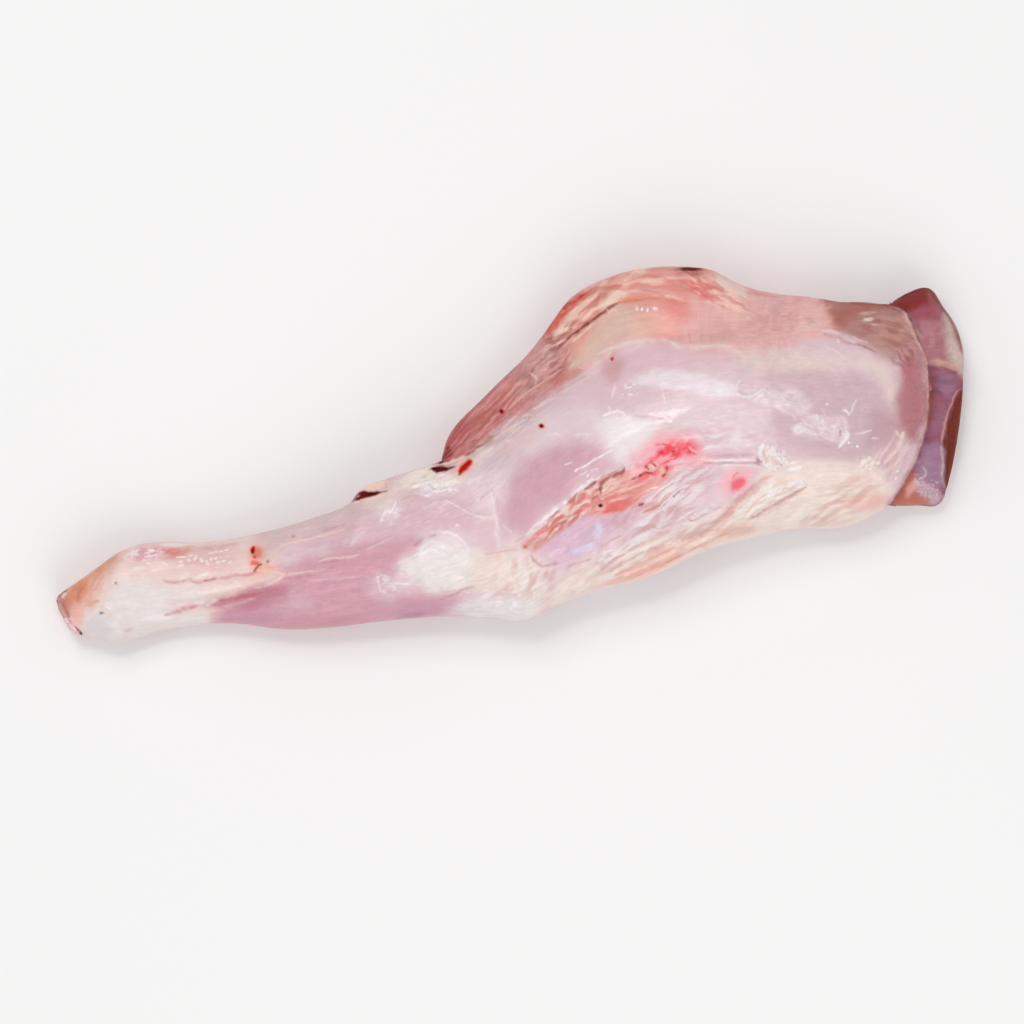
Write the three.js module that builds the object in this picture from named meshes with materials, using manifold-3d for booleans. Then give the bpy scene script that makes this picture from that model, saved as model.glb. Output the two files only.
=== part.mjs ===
// Raw kid goat shoulder with its foreshank, lying on its inner side with the outer side up.
// Millimetres. +X runs from the knuckle to the blade end, +Y across the limb, +Z up.
// The meat is one piece: overlapping muscle layers are lofted over ribs, then joined and trimmed.

import * as THREE from "three";
import { mergeVertices } from "three/addons/utils/BufferGeometryUtils.js";
import Module from "manifold-3d";

const wasm = await Module();
wasm.setup();

// Driving dimensions
const SHANK_THICKNESS = 26; // bone, tendons and film above the knuckle
const ELBOW_THICKNESS = 47;
const SHOULDER_THICKNESS = 56; // thickest place, over the shoulder joint
const BLADE_END_THICKNESS = 36;
const FLAP_THICKNESS = 25; // the layer folded under the blade end
const SINK = 3; // how far the soft underside would dip below the board it settles on

// Fineness of the lofts
const STEPS_PER_RIB = 3;
const TOP_SIDES = 28;
const UNDER_SIDES = 8;

// Section shape: below 1 a section is fuller than an ellipse
const TOP_FULLNESS = 0.86;
const UNDER_FULLNESS = 0.78;

const MEAT_COLOUR = 0xdcb4b8;
const MEAT_ROUGHNESS = 0.38;

// One rib: a point on each edge in plan, the height of the crown between them, and the height of the edges.
function rib(upperX, upperY, lowerX, lowerY, crown, edge) {
  return { upper: [upperX, upperY], lower: [lowerX, lowerY], crown, edge };
}

// The limb from the knuckle over the elbow to the rounded end of the blade.
const LIMB = [
  rib(-175.5, -55.2, -176.0, -60.0, 0.62 * SHANK_THICKNESS, 9),
  rib(-171.2, -51.9, -172.5, -67.5, 0.86 * SHANK_THICKNESS, 11),
  rib(-165.8, -48.4, -166.6, -70.2, 0.95 * SHANK_THICKNESS, 12),
  rib(-159.5, -43.8, -161.0, -70.5, 1.0 * SHANK_THICKNESS, 12), // knuckle
  rib(-151.0, -37.8, -153.5, -73.5, 1.04 * SHANK_THICKNESS, 12),
  rib(-142.5, -34.6, -145.0, -71.8, 1.0 * SHANK_THICKNESS, 11),
  rib(-133.0, -34.0, -135.0, -68.3, 0.96 * SHANK_THICKNESS, 11),
  rib(-117.5, -34.0, -119.5, -66.0, 1.0 * SHANK_THICKNESS, 11), // narrow of the shank
  rib(-104.0, -32.0, -105.5, -65.5, 1.1 * SHANK_THICKNESS, 12),
  rib(-88.5, -28.5, -90.0, -67.5, 1.24 * SHANK_THICKNESS, 13),
  rib(-74.0, -24.0, -74.5, -67.5, 1.36 * SHANK_THICKNESS, 14), // forearm muscle
  rib(-62.0, -19.2, -62.0, -66.2, 0.8 * ELBOW_THICKNESS, 15),
  rib(-58.5, -14.2, -58.0, -65.6, 0.82 * ELBOW_THICKNESS, 16), // fat edge over the forearm
  rib(-45.5, -8.9, -44.5, -64.0, 0.87 * ELBOW_THICKNESS, 16),
  rib(-30.0, -3.9, -28.0, -62.7, 0.94 * ELBOW_THICKNESS, 18),
  rib(-15.0, 2.0, -9.5, -63.0, 0.98 * ELBOW_THICKNESS, 20),
  rib(-1.5, 9.0, 6.0, -64.3, 1.02 * ELBOW_THICKNESS, 21), // point of the elbow
  rib(13.5, 19.5, 18.5, -58.0, 0.89 * SHOULDER_THICKNESS, 22),
  rib(31.0, 32.0, 35.5, -52.0, 0.95 * SHOULDER_THICKNESS, 23),
  rib(50.5, 46.0, 55.0, -46.8, 0.99 * SHOULDER_THICKNESS, 21),
  rib(69.5, 53.0, 73.5, -38.0, 1.0 * SHOULDER_THICKNESS, 19), // shoulder joint
  rib(89.0, 55.0, 91.5, -32.6, 0.98 * SHOULDER_THICKNESS, 18),
  rib(108.5, 56.0, 110.0, -29.0, 0.93 * SHOULDER_THICKNESS, 16),
  rib(127.5, 58.5, 127.5, -28.6, 0.85 * SHOULDER_THICKNESS, 14),
  rib(143.0, 57.8, 139.0, -24.2, 1.17 * BLADE_END_THICKNESS, 14),
  rib(153.5, 55.5, 147.5, -17.5, 1.06 * BLADE_END_THICKNESS, 14), // blade end
  rib(157.5, 47.5, 154.0, -6.5, 0.98 * BLADE_END_THICKNESS, 14),
  rib(160.0, 36.5, 159.0, 7.5, 0.86 * BLADE_END_THICKNESS, 14),
  rib(161.0, 26.5, 161.0, 20.5, 0.64 * BLADE_END_THICKNESS, 14),
];

// The breast-side layer that comes out from under the limb along its upper edge.
const BREAST_SIDE = [
  rib(-27.2, -3.7, -24.5, -10.0, 0.25 * SHOULDER_THICKNESS, 6),
  rib(-24.6, 6.0, -16.0, -20.0, 0.35 * SHOULDER_THICKNESS, 7),
  rib(-20.3, 12.4, -9.0, -25.5, 0.41 * SHOULDER_THICKNESS, 8),
  rib(-13.0, 19.5, 4.0, -25.5, 0.46 * SHOULDER_THICKNESS, 8),
  rib(-3.5, 29.0, 19.5, -17.5, 0.52 * SHOULDER_THICKNESS, 9),
  rib(5.5, 37.5, 35.0, -10.0, 0.57 * SHOULDER_THICKNESS, 9),
  rib(13.4, 47.4, 46.5, -2.0, 0.63 * SHOULDER_THICKNESS, 10),
  rib(22.8, 60.0, 58.0, 1.5, 0.67 * SHOULDER_THICKNESS, 11),
  rib(34.5, 67.0, 69.5, 5.5, 0.71 * SHOULDER_THICKNESS, 12),
  rib(50.5, 71.5, 78.5, 9.5, 0.74 * SHOULDER_THICKNESS, 12), // top of the hump
  rib(66.0, 72.2, 86.0, 10.5, 0.76 * SHOULDER_THICKNESS, 12),
  rib(77.0, 71.0, 92.0, 12.0, 0.75 * SHOULDER_THICKNESS, 12),
  rib(87.5, 65.5, 98.5, 13.0, 0.74 * SHOULDER_THICKNESS, 12),
  rib(100.0, 62.0, 106.0, 14.5, 0.71 * SHOULDER_THICKNESS, 12),
  rib(115.0, 60.5, 118.0, 20.5, 0.64 * SHOULDER_THICKNESS, 12),
  rib(130.0, 58.0, 128.0, 36.5, 0.5 * SHOULDER_THICKNESS, 11),
];

// The layer folded under the blade end, lowest part first.
const FLAP_BASE = [
  rib(135.0, 40.0, 135.0, 0.0, 0.5 * FLAP_THICKNESS, 6),
  rib(145.5, 56.0, 144.0, -19.0, 0.6 * FLAP_THICKNESS, 7),
  rib(156.5, 62.0, 156.5, -20.0, 0.64 * FLAP_THICKNESS, 8),
  rib(164.0, 59.0, 165.5, -20.2, 0.64 * FLAP_THICKNESS, 8),
  rib(170.5, 50.5, 169.3, -11.5, 0.6 * FLAP_THICKNESS, 8),
  rib(174.0, 41.0, 173.4, 9.0, 0.54 * FLAP_THICKNESS, 7),
  rib(175.0, 34.0, 175.0, 24.5, 0.4 * FLAP_THICKNESS, 6),
];
const FLAP_UPPER_LOBE = [
  rib(136.0, 50.0, 136.0, 20.0, 0.9 * FLAP_THICKNESS, 9),
  rib(145.5, 57.5, 148.0, 23.0, 1.1 * FLAP_THICKNESS, 11),
  rib(155.5, 63.5, 158.0, 25.5, 1.16 * FLAP_THICKNESS, 12),
  rib(161.5, 64.0, 165.5, 26.0, 1.1 * FLAP_THICKNESS, 12), // raised corner
  rib(166.5, 57.0, 170.0, 25.5, 1.0 * FLAP_THICKNESS, 11),
  rib(171.5, 50.0, 172.5, 26.0, 0.88 * FLAP_THICKNESS, 11),
  rib(174.5, 41.0, 174.5, 29.0, 0.66 * FLAP_THICKNESS, 10),
];
const FLAP_LOWER_LOBE = [
  rib(137.0, 20.0, 137.0, -8.0, 0.7 * FLAP_THICKNESS, 8),
  rib(147.0, 28.0, 146.0, -19.5, 0.94 * FLAP_THICKNESS, 9),
  rib(156.5, 30.0, 156.0, -20.0, 1.0 * FLAP_THICKNESS, 10),
  rib(163.0, 29.0, 162.5, -19.5, 0.94 * FLAP_THICKNESS, 10),
  rib(168.0, 23.0, 166.5, -15.0, 0.84 * FLAP_THICKNESS, 11), // lip over the base
  rib(168.5, 13.5, 167.0, -4.0, 0.66 * FLAP_THICKNESS, 11),
];

// Muscle bellies, pads and hollows on the top of the limb, as soft oval swellings.
// along and across are half-lengths, turn is in degrees from +X, and a negative height is a hollow.
const SWELLINGS = [
  { at: [-155, -65], along: 10, across: 6, turn: 0, height: 3 }, // knob of the knuckle
  { at: [-150, -45], along: 12, across: 6, turn: 15, height: 1.5 },
  { at: [-125, -42], along: 24, across: 5, turn: 4, height: 2 }, // tendon of the shank
  { at: [-118, -57], along: 26, across: 3.5, turn: 8, height: -2 }, // groove under the tendon
  { at: [-54, -43], along: 38, across: 13, turn: 7, height: 3 }, // forearm belly
  { at: [-50, -20], along: 30, across: 7, turn: 20, height: 1.5 },
  { at: [-15, -44], along: 15, across: 11, turn: 0, height: 3 }, // elbow pad
  { at: [5, -55], along: 11, across: 6, turn: 0, height: 3 }, // point of the elbow
  { at: [-4, -21], along: 4, across: 17, turn: 0, height: -2.5 }, // bend of the elbow
  { at: [23, -1], along: 26, across: 14, turn: 34, height: 3.5 }, // upper-arm belly
  { at: [31, -24], along: 28, across: 6, turn: 32, height: -4.5 }, // valley under that belly
  { at: [28, -36], along: 14, across: 5, turn: 22, height: 1.5 },
  { at: [74, -6], along: 14, across: 8, turn: 25, height: -2.5 },
  { at: [100, 20], along: 46, across: 19, turn: 0, height: 2.5 }, // blade muscle
  { at: [80, -25], along: 44, across: 6, turn: 17, height: 2 }, // fat along the lower edge
];

// The knuckle is cut through the joint. The cut faces out, down the limb, and a little up.
const KNUCKLE_CUT = { at: [-173.4, -64.0, 4], facing: [-0.861, -0.509, 0.2] };
// The blocks that trim the knuckle and the underside are larger than what they remove.
const TRIM_DEPTH = 120;
const TRIM_WIDTH = 480;

function reliefAt(x, y) {
  let height = 0;
  for (const swelling of SWELLINGS) {
    const turn = THREE.MathUtils.degToRad(swelling.turn);
    const dx = x - swelling.at[0];
    const dy = y - swelling.at[1];
    const u = (dx * Math.cos(turn) + dy * Math.sin(turn)) / swelling.along;
    const v = (dy * Math.cos(turn) - dx * Math.sin(turn)) / swelling.across;
    height += swelling.height * Math.exp(-(u * u + v * v));
  }
  return height;
}

// Angles round a section: 0 at the upper edge, a quarter turn at the crown, then the lower edge and the underside.
function sectionAngles() {
  const angles = [];
  for (let i = 0; i < TOP_SIDES; i++) angles.push((Math.PI * i) / TOP_SIDES);
  for (let i = 0; i < UNDER_SIDES; i++) angles.push(Math.PI + (Math.PI * i) / UNDER_SIDES);
  return angles;
}

function sectionPoint(upper, lower, angle) {
  const crown = upper.z;
  const edge = lower.z;
  const across = (1 + Math.cos(angle)) / 2;
  const rise = Math.sin(angle);
  const x = THREE.MathUtils.lerp(lower.x, upper.x, across);
  const y = THREE.MathUtils.lerp(lower.y, upper.y, across);
  if (rise < 0) return [x, y, edge - (edge + SINK) * Math.pow(-rise, UNDER_FULLNESS)];
  return [x, y, edge + (crown - edge) * Math.pow(rise, TOP_FULLNESS) + rise * reliefAt(x, y)];
}

// A closed muscle layer: smooth curves run through the rib ends, and sections span between them.
function loft(ribs) {
  const upper = new THREE.CatmullRomCurve3(ribs.map((r) => new THREE.Vector3(...r.upper, r.crown)));
  const lower = new THREE.CatmullRomCurve3(ribs.map((r) => new THREE.Vector3(...r.lower, r.edge)));
  const angles = sectionAngles();
  const steps = (ribs.length - 1) * STEPS_PER_RIB;
  const points = [];
  const faces = [];
  for (let i = 0; i <= steps; i++) {
    const a = upper.getPoint(i / steps);
    const b = lower.getPoint(i / steps);
    for (const angle of angles) points.push(...sectionPoint(a, b, angle));
  }
  const count = angles.length;
  for (let i = 0; i < steps; i++) {
    for (let j = 0; j < count; j++) {
      const here = i * count + j;
      const beside = i * count + ((j + 1) % count);
      faces.push(here, beside, beside + count, here, beside + count, here + count);
    }
  }
  const middle = (first) => {
    const sum = new THREE.Vector3();
    for (let j = 0; j < count; j++) sum.add(new THREE.Vector3().fromArray(points, 3 * (first + j)));
    return sum.divideScalar(count).toArray();
  };
  const lastRing = steps * count;
  const startPoint = points.length / 3;
  points.push(...middle(0), ...middle(lastRing));
  for (let j = 0; j < count; j++) {
    const next = (j + 1) % count;
    faces.push(startPoint, next, j, startPoint + 1, lastRing + j, lastRing + next);
  }
  return new THREE.BufferGeometry()
    .setAttribute("position", new THREE.Float32BufferAttribute(points, 3))
    .setIndex(faces);
}

function solidOf(geometry) {
  const bare = geometry.clone();
  bare.deleteAttribute("normal");
  bare.deleteAttribute("uv");
  const merged = mergeVertices(bare);
  const vertProperties = merged.getAttribute("position").array;
  const triVerts = Uint32Array.from(merged.index.array);
  return new wasm.Manifold(new wasm.Mesh({ numProp: 3, vertProperties, triVerts }));
}

// A block whose one face passes through a point and looks the way that is given, with the block beyond it.
function trimBlock(at, facing) {
  const outwards = new THREE.Vector3(...facing).normalize();
  const turn = new THREE.Quaternion().setFromUnitVectors(new THREE.Vector3(0, 0, 1), outwards);
  return solidOf(
    new THREE.BoxGeometry(TRIM_WIDTH, TRIM_WIDTH, TRIM_DEPTH)
      .translate(0, 0, TRIM_DEPTH / 2)
      .applyQuaternion(turn)
      .translate(...at),
  );
}

function geometryOf(solid) {
  const mesh = solid.getMesh();
  return new THREE.BufferGeometry()
    .setAttribute("position", new THREE.BufferAttribute(Float32Array.from(mesh.vertProperties), 3))
    .setIndex(new THREE.BufferAttribute(Uint32Array.from(mesh.triVerts), 1));
}

// The origin goes to the middle of the underside.
function standOnOrigin(geometry) {
  geometry.computeBoundingBox();
  const { min, max } = geometry.boundingBox;
  return geometry.translate(-(min.x + max.x) / 2, -(min.y + max.y) / 2, -min.z);
}

const layers = [LIMB, BREAST_SIDE, FLAP_BASE, FLAP_UPPER_LOBE, FLAP_LOWER_LOBE];
const joined = layers.map((ribs) => solidOf(loft(ribs))).reduce((whole, layer) => whole.add(layer));
const trimmed = joined
  .subtract(trimBlock(KNUCKLE_CUT.at, KNUCKLE_CUT.facing))
  .subtract(trimBlock([0, 0, 0], [0, 0, -1]));

const meat = new THREE.Mesh(
  standOnOrigin(geometryOf(trimmed)),
  new THREE.MeshStandardMaterial({ color: MEAT_COLOUR, roughness: MEAT_ROUGHNESS, metalness: 0 }),
);
meat.name = "goat_shoulder";
meat.geometry.computeVertexNormals();

const shoulder = new THREE.Group();
shoulder.add(meat);

export default shoulder;
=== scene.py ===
# %% [markdown]
# # Raw kid goat shoulder
# A kid's shoulder is sold as one limb: the foreshank with its cut knuckle, the elbow, the upper arm and
# the broad blade. It has no parts to assemble, so the lesson is about one surface. We take the solid,
# give it an even skin, model its folds and grooves, colour it muscle by muscle, and lay thin strands and
# beads of fat on it.

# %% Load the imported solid
import itertools

import bmesh
import bpy
import numpy as np
from mathutils import Matrix, Vector


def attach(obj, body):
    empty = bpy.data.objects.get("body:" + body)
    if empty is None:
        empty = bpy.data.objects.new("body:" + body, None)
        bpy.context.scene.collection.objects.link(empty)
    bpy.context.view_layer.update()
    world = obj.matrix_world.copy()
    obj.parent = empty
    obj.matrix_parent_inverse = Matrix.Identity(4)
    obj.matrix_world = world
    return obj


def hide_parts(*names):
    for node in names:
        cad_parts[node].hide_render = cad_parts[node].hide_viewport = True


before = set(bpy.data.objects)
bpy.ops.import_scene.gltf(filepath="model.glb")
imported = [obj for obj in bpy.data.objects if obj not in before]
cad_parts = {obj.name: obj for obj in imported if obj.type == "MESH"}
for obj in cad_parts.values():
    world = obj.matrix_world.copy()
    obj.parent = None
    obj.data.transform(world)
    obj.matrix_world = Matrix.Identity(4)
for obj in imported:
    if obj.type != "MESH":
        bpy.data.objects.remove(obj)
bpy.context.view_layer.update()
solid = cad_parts["goat_shoulder"]

# %% [markdown]
# ## Camera
# The shoulder was photographed from straight above. A long lens keeps its edges upright, and one scale
# then holds for the whole picture: the size of a pixel at the height where the meat is widest. With
# that scale every place on the meat can be named by the pixel where it shows.

# %% Camera straight above
MM = 0.001
PICTURE = 1024  # pixels on a side
PIXEL = 0.386 * MM  # one pixel, at the height of the widest outline
WIDEST_AT = 12 * MM
CAMERA_HEIGHT = 1500 * MM
MEAT_MIDDLE = (509.5, 455.4)  # pixel over the middle of the solid
SENSOR = 36.0  # width in millimetres, as the lens is

picture_middle = PICTURE / 2
camera_x = (picture_middle - MEAT_MIDDLE[0]) * PIXEL
camera_y = (MEAT_MIDDLE[1] - picture_middle) * PIXEL
pixels_per_slope = (CAMERA_HEIGHT - WIDEST_AT) / PIXEL

camera = bpy.data.objects.new("camera", bpy.data.cameras.new("camera"))
camera.data.sensor_width = SENSOR
camera.data.lens = SENSOR * pixels_per_slope / PICTURE
camera.location = (camera_x, camera_y, CAMERA_HEIGHT)
bpy.context.scene.collection.objects.link(camera)
bpy.context.scene.camera = camera
print("lens", round(camera.data.lens, 1), "mm")


def pixel_of(points):
    """The pixels where points of the model show, one row each."""
    slope = pixels_per_slope / (CAMERA_HEIGHT - points[:, 2])
    across = picture_middle + (points[:, 0] - camera_x) * slope
    down = picture_middle - (points[:, 1] - camera_y) * slope
    return np.stack([across, down], axis=1)


# %% [markdown]
# ## Floor and light
# Raw meat is shown on white under soft, even light, which keeps the shadow faint and the pinks true. A
# bright world does most of the work. A large softbox adds the broad, wet-looking highlights, a small one
# the sharp glints, and a third fills the far side.

# %% Floor
FLOOR_SIZE = 6.0
FLOOR_GAP = 0.2 * MM


def plain_floor():
    mesh = bpy.data.meshes.new("floor")
    half = FLOOR_SIZE / 2
    corners = [(x * half, y * half, -FLOOR_GAP) for x, y in ((-1, -1), (1, -1), (1, 1), (-1, 1))]
    mesh.from_pydata(corners, [], [(0, 1, 2, 3)])
    paint = bpy.data.materials.new("floor paint")
    paint.use_nodes = True
    shader = paint.node_tree.nodes["Principled BSDF"]
    shader.inputs["Base Color"].default_value = (0.92, 0.92, 0.92, 1)
    shader.inputs["Roughness"].default_value = 0.9
    shader.inputs["Specular IOR Level"].default_value = 0.1
    mesh.materials.append(paint)
    floor = bpy.data.objects.new("floor", mesh)
    bpy.context.scene.collection.objects.link(floor)


plain_floor()
print("floor of", FLOOR_SIZE, "metres")


# %% Softboxes and world
def softbox(name, place, size, watts):
    light = bpy.data.lights.new(name, "AREA")
    light.shape = "DISK"
    light.size = size
    light.energy = watts
    lamp = bpy.data.objects.new(name, light)
    lamp.location = place
    lamp.rotation_euler = (-Vector(place)).to_track_quat("-Z", "Y").to_euler()
    bpy.context.scene.collection.objects.link(lamp)


softbox("key softbox", (-0.35, 0.6, 1.45), 0.7, 5)
softbox("glint softbox", (-0.2, 0.42, 1.45), 0.16, 1.6)
softbox("fill softbox", (0.35, -0.95, 1.15), 1.2, 5.5)
world = bpy.data.worlds.new("white room")
world.use_nodes = True
world.node_tree.nodes["Background"].inputs["Color"].default_value = (1.0, 0.99, 0.985, 1)
world.node_tree.nodes["Background"].inputs["Strength"].default_value = 0.62
bpy.context.scene.world = world
bpy.context.scene.view_settings.view_transform = "Standard"
print(len(bpy.data.lights), "softboxes and a bright world")

# %% [markdown]
# ## An even skin
# The solid is made of long flat facets. Sculpted detail needs small, even ones, so a voxel remesh lays
# a fine net over a copy, and rounds of smoothing melt the old facets away.

# %% Remesh and soften a copy
VOXEL = 0.42 * MM
SOFTEN_ROUNDS = 80


def baked_mesh(obj, name):
    """The object's mesh with its modifiers applied, and the object itself removed."""
    evaluated = obj.evaluated_get(bpy.context.evaluated_depsgraph_get())
    mesh = bpy.data.meshes.new_from_object(evaluated)
    mesh.name = name
    bpy.data.objects.remove(obj)
    return mesh


def linked_object(name, mesh):
    obj = bpy.data.objects.new(name, mesh)
    bpy.context.scene.collection.objects.link(obj)
    return obj


def merged_copy(mesh):
    work = bmesh.new()
    work.from_mesh(mesh)
    bmesh.ops.remove_doubles(work, verts=work.verts, dist=0.001 * MM)
    copy = bpy.data.meshes.new("merged solid")
    work.to_mesh(copy)
    work.free()
    return copy


def even_skin():
    draft = linked_object("even skin draft", merged_copy(solid.data))
    net = draft.modifiers.new("fine net", "REMESH")
    net.mode = "VOXEL"
    net.voxel_size = VOXEL
    soften = draft.modifiers.new("soften facets", "SMOOTH")
    soften.factor = 0.5
    soften.iterations = SOFTEN_ROUNDS
    return baked_mesh(draft, "even skin")


skin_mesh = even_skin()
print("even skin:", len(skin_mesh.vertices), "points")

# %% [markdown]
# ## Places on the skin
# Folds, stains and strands all need the same three things: where a point shows in the picture, how much
# it faces up, and its distance from a line or a patch. These helpers work on whole arrays of points.
# On a steep wall a drawing from above would run down in stripes, so the places there stray a little and
# fine detail fades out.


# %% The skin as arrays
WALL_STRAY = 10  # pixels
IN_SIGHT = (0, 0.25)  # upward share of the normal, from out of sight to fully seen
UPPER_SIDE = (-0.75, -0.1)  # and from the underside to the upper side


def mesh_array(data, field, width):
    values = np.empty(len(data) * width, np.float32)
    data.foreach_get(field, values)
    return values.reshape(-1, width).astype(float)


def smooth_step(low, high, value):
    share = np.clip((value - low) / (high - low), 0, 1)
    return share * share * (3 - 2 * share)


class Skin:
    """Points of a mesh, the pixel where each shows, and how far it is on the upper side and in sight."""

    def __init__(self, mesh):
        self.points = mesh_array(mesh.vertices, "co", 3)
        self.normals = mesh_array(mesh.vertex_normals, "vector", 3)
        spots = self.points / MM
        known = mesh.attributes.get("facing")
        facing = mesh_array(known.data, "value", 1)[:, 0] if known else self.normals[:, 2]
        self.upper = smooth_step(*UPPER_SIDE, facing + 0.2 * noise(spots, 12, 860))
        self.seen = smooth_step(*IN_SIGHT, facing)
        stray = np.stack([noise(spots, 9, 870), noise(spots, 9, 880)], axis=1)
        self.pixels = pixel_of(self.points) + WALL_STRAY * (1 - self.seen)[:, None] * stray

    def near(self, low, high):
        inside = (self.pixels > low).all(axis=1) & (self.pixels < high).all(axis=1)
        return np.flatnonzero(inside & (self.upper > 0))


# %% Seeded noise
NOISE_GAIN = 1.6  # brings the noise to about -1 to 1
FLAT_SLICE = 0.37  # where a flat drawing cuts through the noise


def lattice_noise(points, seed):
    """Smooth noise from about -1 to 1, with features one unit apart."""
    draw = np.random.default_rng(seed)
    order = np.tile(draw.permutation(256), 2)
    slopes = draw.normal(size=(256, 3))
    slopes /= np.linalg.norm(slopes, axis=1, keepdims=True)
    cell = np.floor(points).astype(int)
    inside = points - cell
    fade = inside**3 * (inside * (inside * 6 - 15) + 10)
    total = np.zeros(len(points))
    for corner in itertools.product((0, 1), repeat=3):
        key = (cell + corner) & 255
        chosen = order[order[order[key[:, 0]] + key[:, 1]] + key[:, 2]]
        weight = np.prod(np.where(corner, fade, 1 - fade), axis=1)
        total += weight * ((inside - corner) * slopes[chosen]).sum(axis=1)
    return NOISE_GAIN * total


def noise(points, size, seed, octaves=2):
    """Layered noise: each octave is half the size and half the strength of the last."""
    points = np.atleast_2d(points) / size
    if points.shape[1] == 2:
        points = np.column_stack([points, np.full(len(points), FLAT_SLICE)])
    waves = [lattice_noise(points * 2**k, seed + k) / 2**k for k in range(octaves)]
    return np.sum(waves, axis=0)


# %% Curves and the distance from them
def wander(pixels, seed, size=7):
    """Small seeded shifts, so that nothing drawn is quite straight."""
    return np.stack([noise(pixels, size, 900 + seed), noise(pixels, size, 950 + seed)], axis=1)


def smooth_path(marks, steps=5):
    """A curve through the marks, as many short straight runs."""
    marks = np.array([marks[0], *marks, marks[-1]], float)
    runs = []
    for a, b, c, d in zip(marks, marks[1:], marks[2:], marks[3:]):
        for t in np.arange(steps) / steps:
            cubic = (3 * b - a - 3 * c + d) * t**3
            runs.append(b + 0.5 * ((c - a) * t + (2 * a - 5 * b + 4 * c - d) * t**2 + cubic))
    return np.array([*runs, marks[-2]])


def beside(pixels, line):
    """Distance from a line, the side (1 to the right of its run, -1 to the left) and the share along it."""
    starts = line[:-1]
    runs = np.diff(line, axis=0)
    lengths = np.maximum(np.linalg.norm(runs, axis=1), 1e-6)
    before = np.concatenate([[0], np.cumsum(lengths)])
    offset = pixels[:, None] - starts
    share = np.clip((offset * runs).sum(axis=2) / lengths**2, 0, 1)
    reach = np.linalg.norm(offset - share[..., None] * runs, axis=2)
    best = reach.argmin(axis=1)
    rows = np.arange(len(pixels))
    nearest = offset[rows, best]
    side = np.sign(runs[best, 0] * nearest[:, 1] - runs[best, 1] * nearest[:, 0])
    along = (before[best] + share[rows, best] * lengths[best]) / before[-1]
    return reach[rows, best], side, along


# %% Strokes
WOBBLE = 0.8  # pixels that a drawn line strays
LINE_UNEVEN = 0.4  # share by which its width changes
LINE_ENDS = 7  # a line tapers over the first and last seventh of its length
THINNEST = 0.12


def stroke(skin, marks, width, seed):
    """Points near a drawn line, their weight from 1 on it to 0 beside it, and their side."""
    line = smooth_path(marks)
    margin = 2.6 * width + 3
    chosen = skin.near(line.min(axis=0) - margin, line.max(axis=0) + margin)
    pixels = skin.pixels[chosen] + WOBBLE * wander(skin.pixels[chosen], seed)
    reach, side, along = beside(pixels, line)
    uneven = 1 + LINE_UNEVEN * noise(pixels, 2 * width + 5, seed)
    taper = np.sqrt(np.clip(np.minimum(along, 1 - along) * LINE_ENDS, THINNEST, 1))
    weight = np.exp(-((reach / (width * uneven * taper)) ** 2))
    return chosen, weight * skin.upper[chosen], reach * side


# %% Patches and areas
PATCH_UNEVEN = 0.2  # share of its size by which a patch's edge strays
AREA_UNEVEN = 0.6  # share of its softness by which an area's edge strays


def turned(offset, degrees):
    """Offsets along and across a direction, which turns anticlockwise in the picture."""
    angle = np.radians(degrees)
    along = offset[:, 0] * np.cos(angle) - offset[:, 1] * np.sin(angle)
    across = offset[:, 0] * np.sin(angle) + offset[:, 1] * np.cos(angle)
    return along, across


def oval(skin, middle, half, degrees, seed, soft=0.5):
    """Points in an oval patch with an uneven, soft edge, and their weight."""
    margin = 1.6 * max(half)
    chosen = skin.near(np.array(middle) - margin, np.array(middle) + margin)
    along, across = turned(skin.pixels[chosen] - middle, degrees)
    out = np.hypot(along / half[0], across / half[1])
    out = out + PATCH_UNEVEN * noise(skin.pixels[chosen], 0.7 * min(half) + 2, seed)
    weight = 1 - smooth_step(1 - soft, 1 + soft, out)
    return chosen, weight * skin.upper[chosen]


def area(skin, outline, soft, seed):
    """Points inside a drawn outline, with a soft and uneven edge, and their weight."""
    ring = smooth_path([*outline, outline[0]], steps=3)
    margin = 2 * soft + 3
    chosen = skin.near(ring.min(axis=0) - margin, ring.max(axis=0) + margin)
    pixels = skin.pixels[chosen]
    reach, _, _ = beside(pixels, ring)
    inside = np.zeros(len(chosen), bool)
    for (x0, y0), (x1, y1) in zip(ring[:-1], ring[1:]):
        spans = (y0 > pixels[:, 1]) != (y1 > pixels[:, 1])
        crossing = x0 + (pixels[:, 1] - y0) * (x1 - x0) / (y1 - y0 + 1e-9)
        inside ^= spans & (pixels[:, 0] < crossing)
    ragged = AREA_UNEVEN * soft * noise(pixels, 1.6 * soft + 4, seed, octaves=3)
    depth = np.where(inside, reach, -reach) + ragged
    return chosen, smooth_step(-soft, soft, depth) * skin.upper[chosen]


# %% [markdown]
# ## Colours of the meat
# Lilac muscle under a milky film, rose forearm, cream fat, salmon breast side, dark red where the muscle
# was cut: the colours change every few millimetres. A palette of named tints keeps them in one place.

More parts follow.
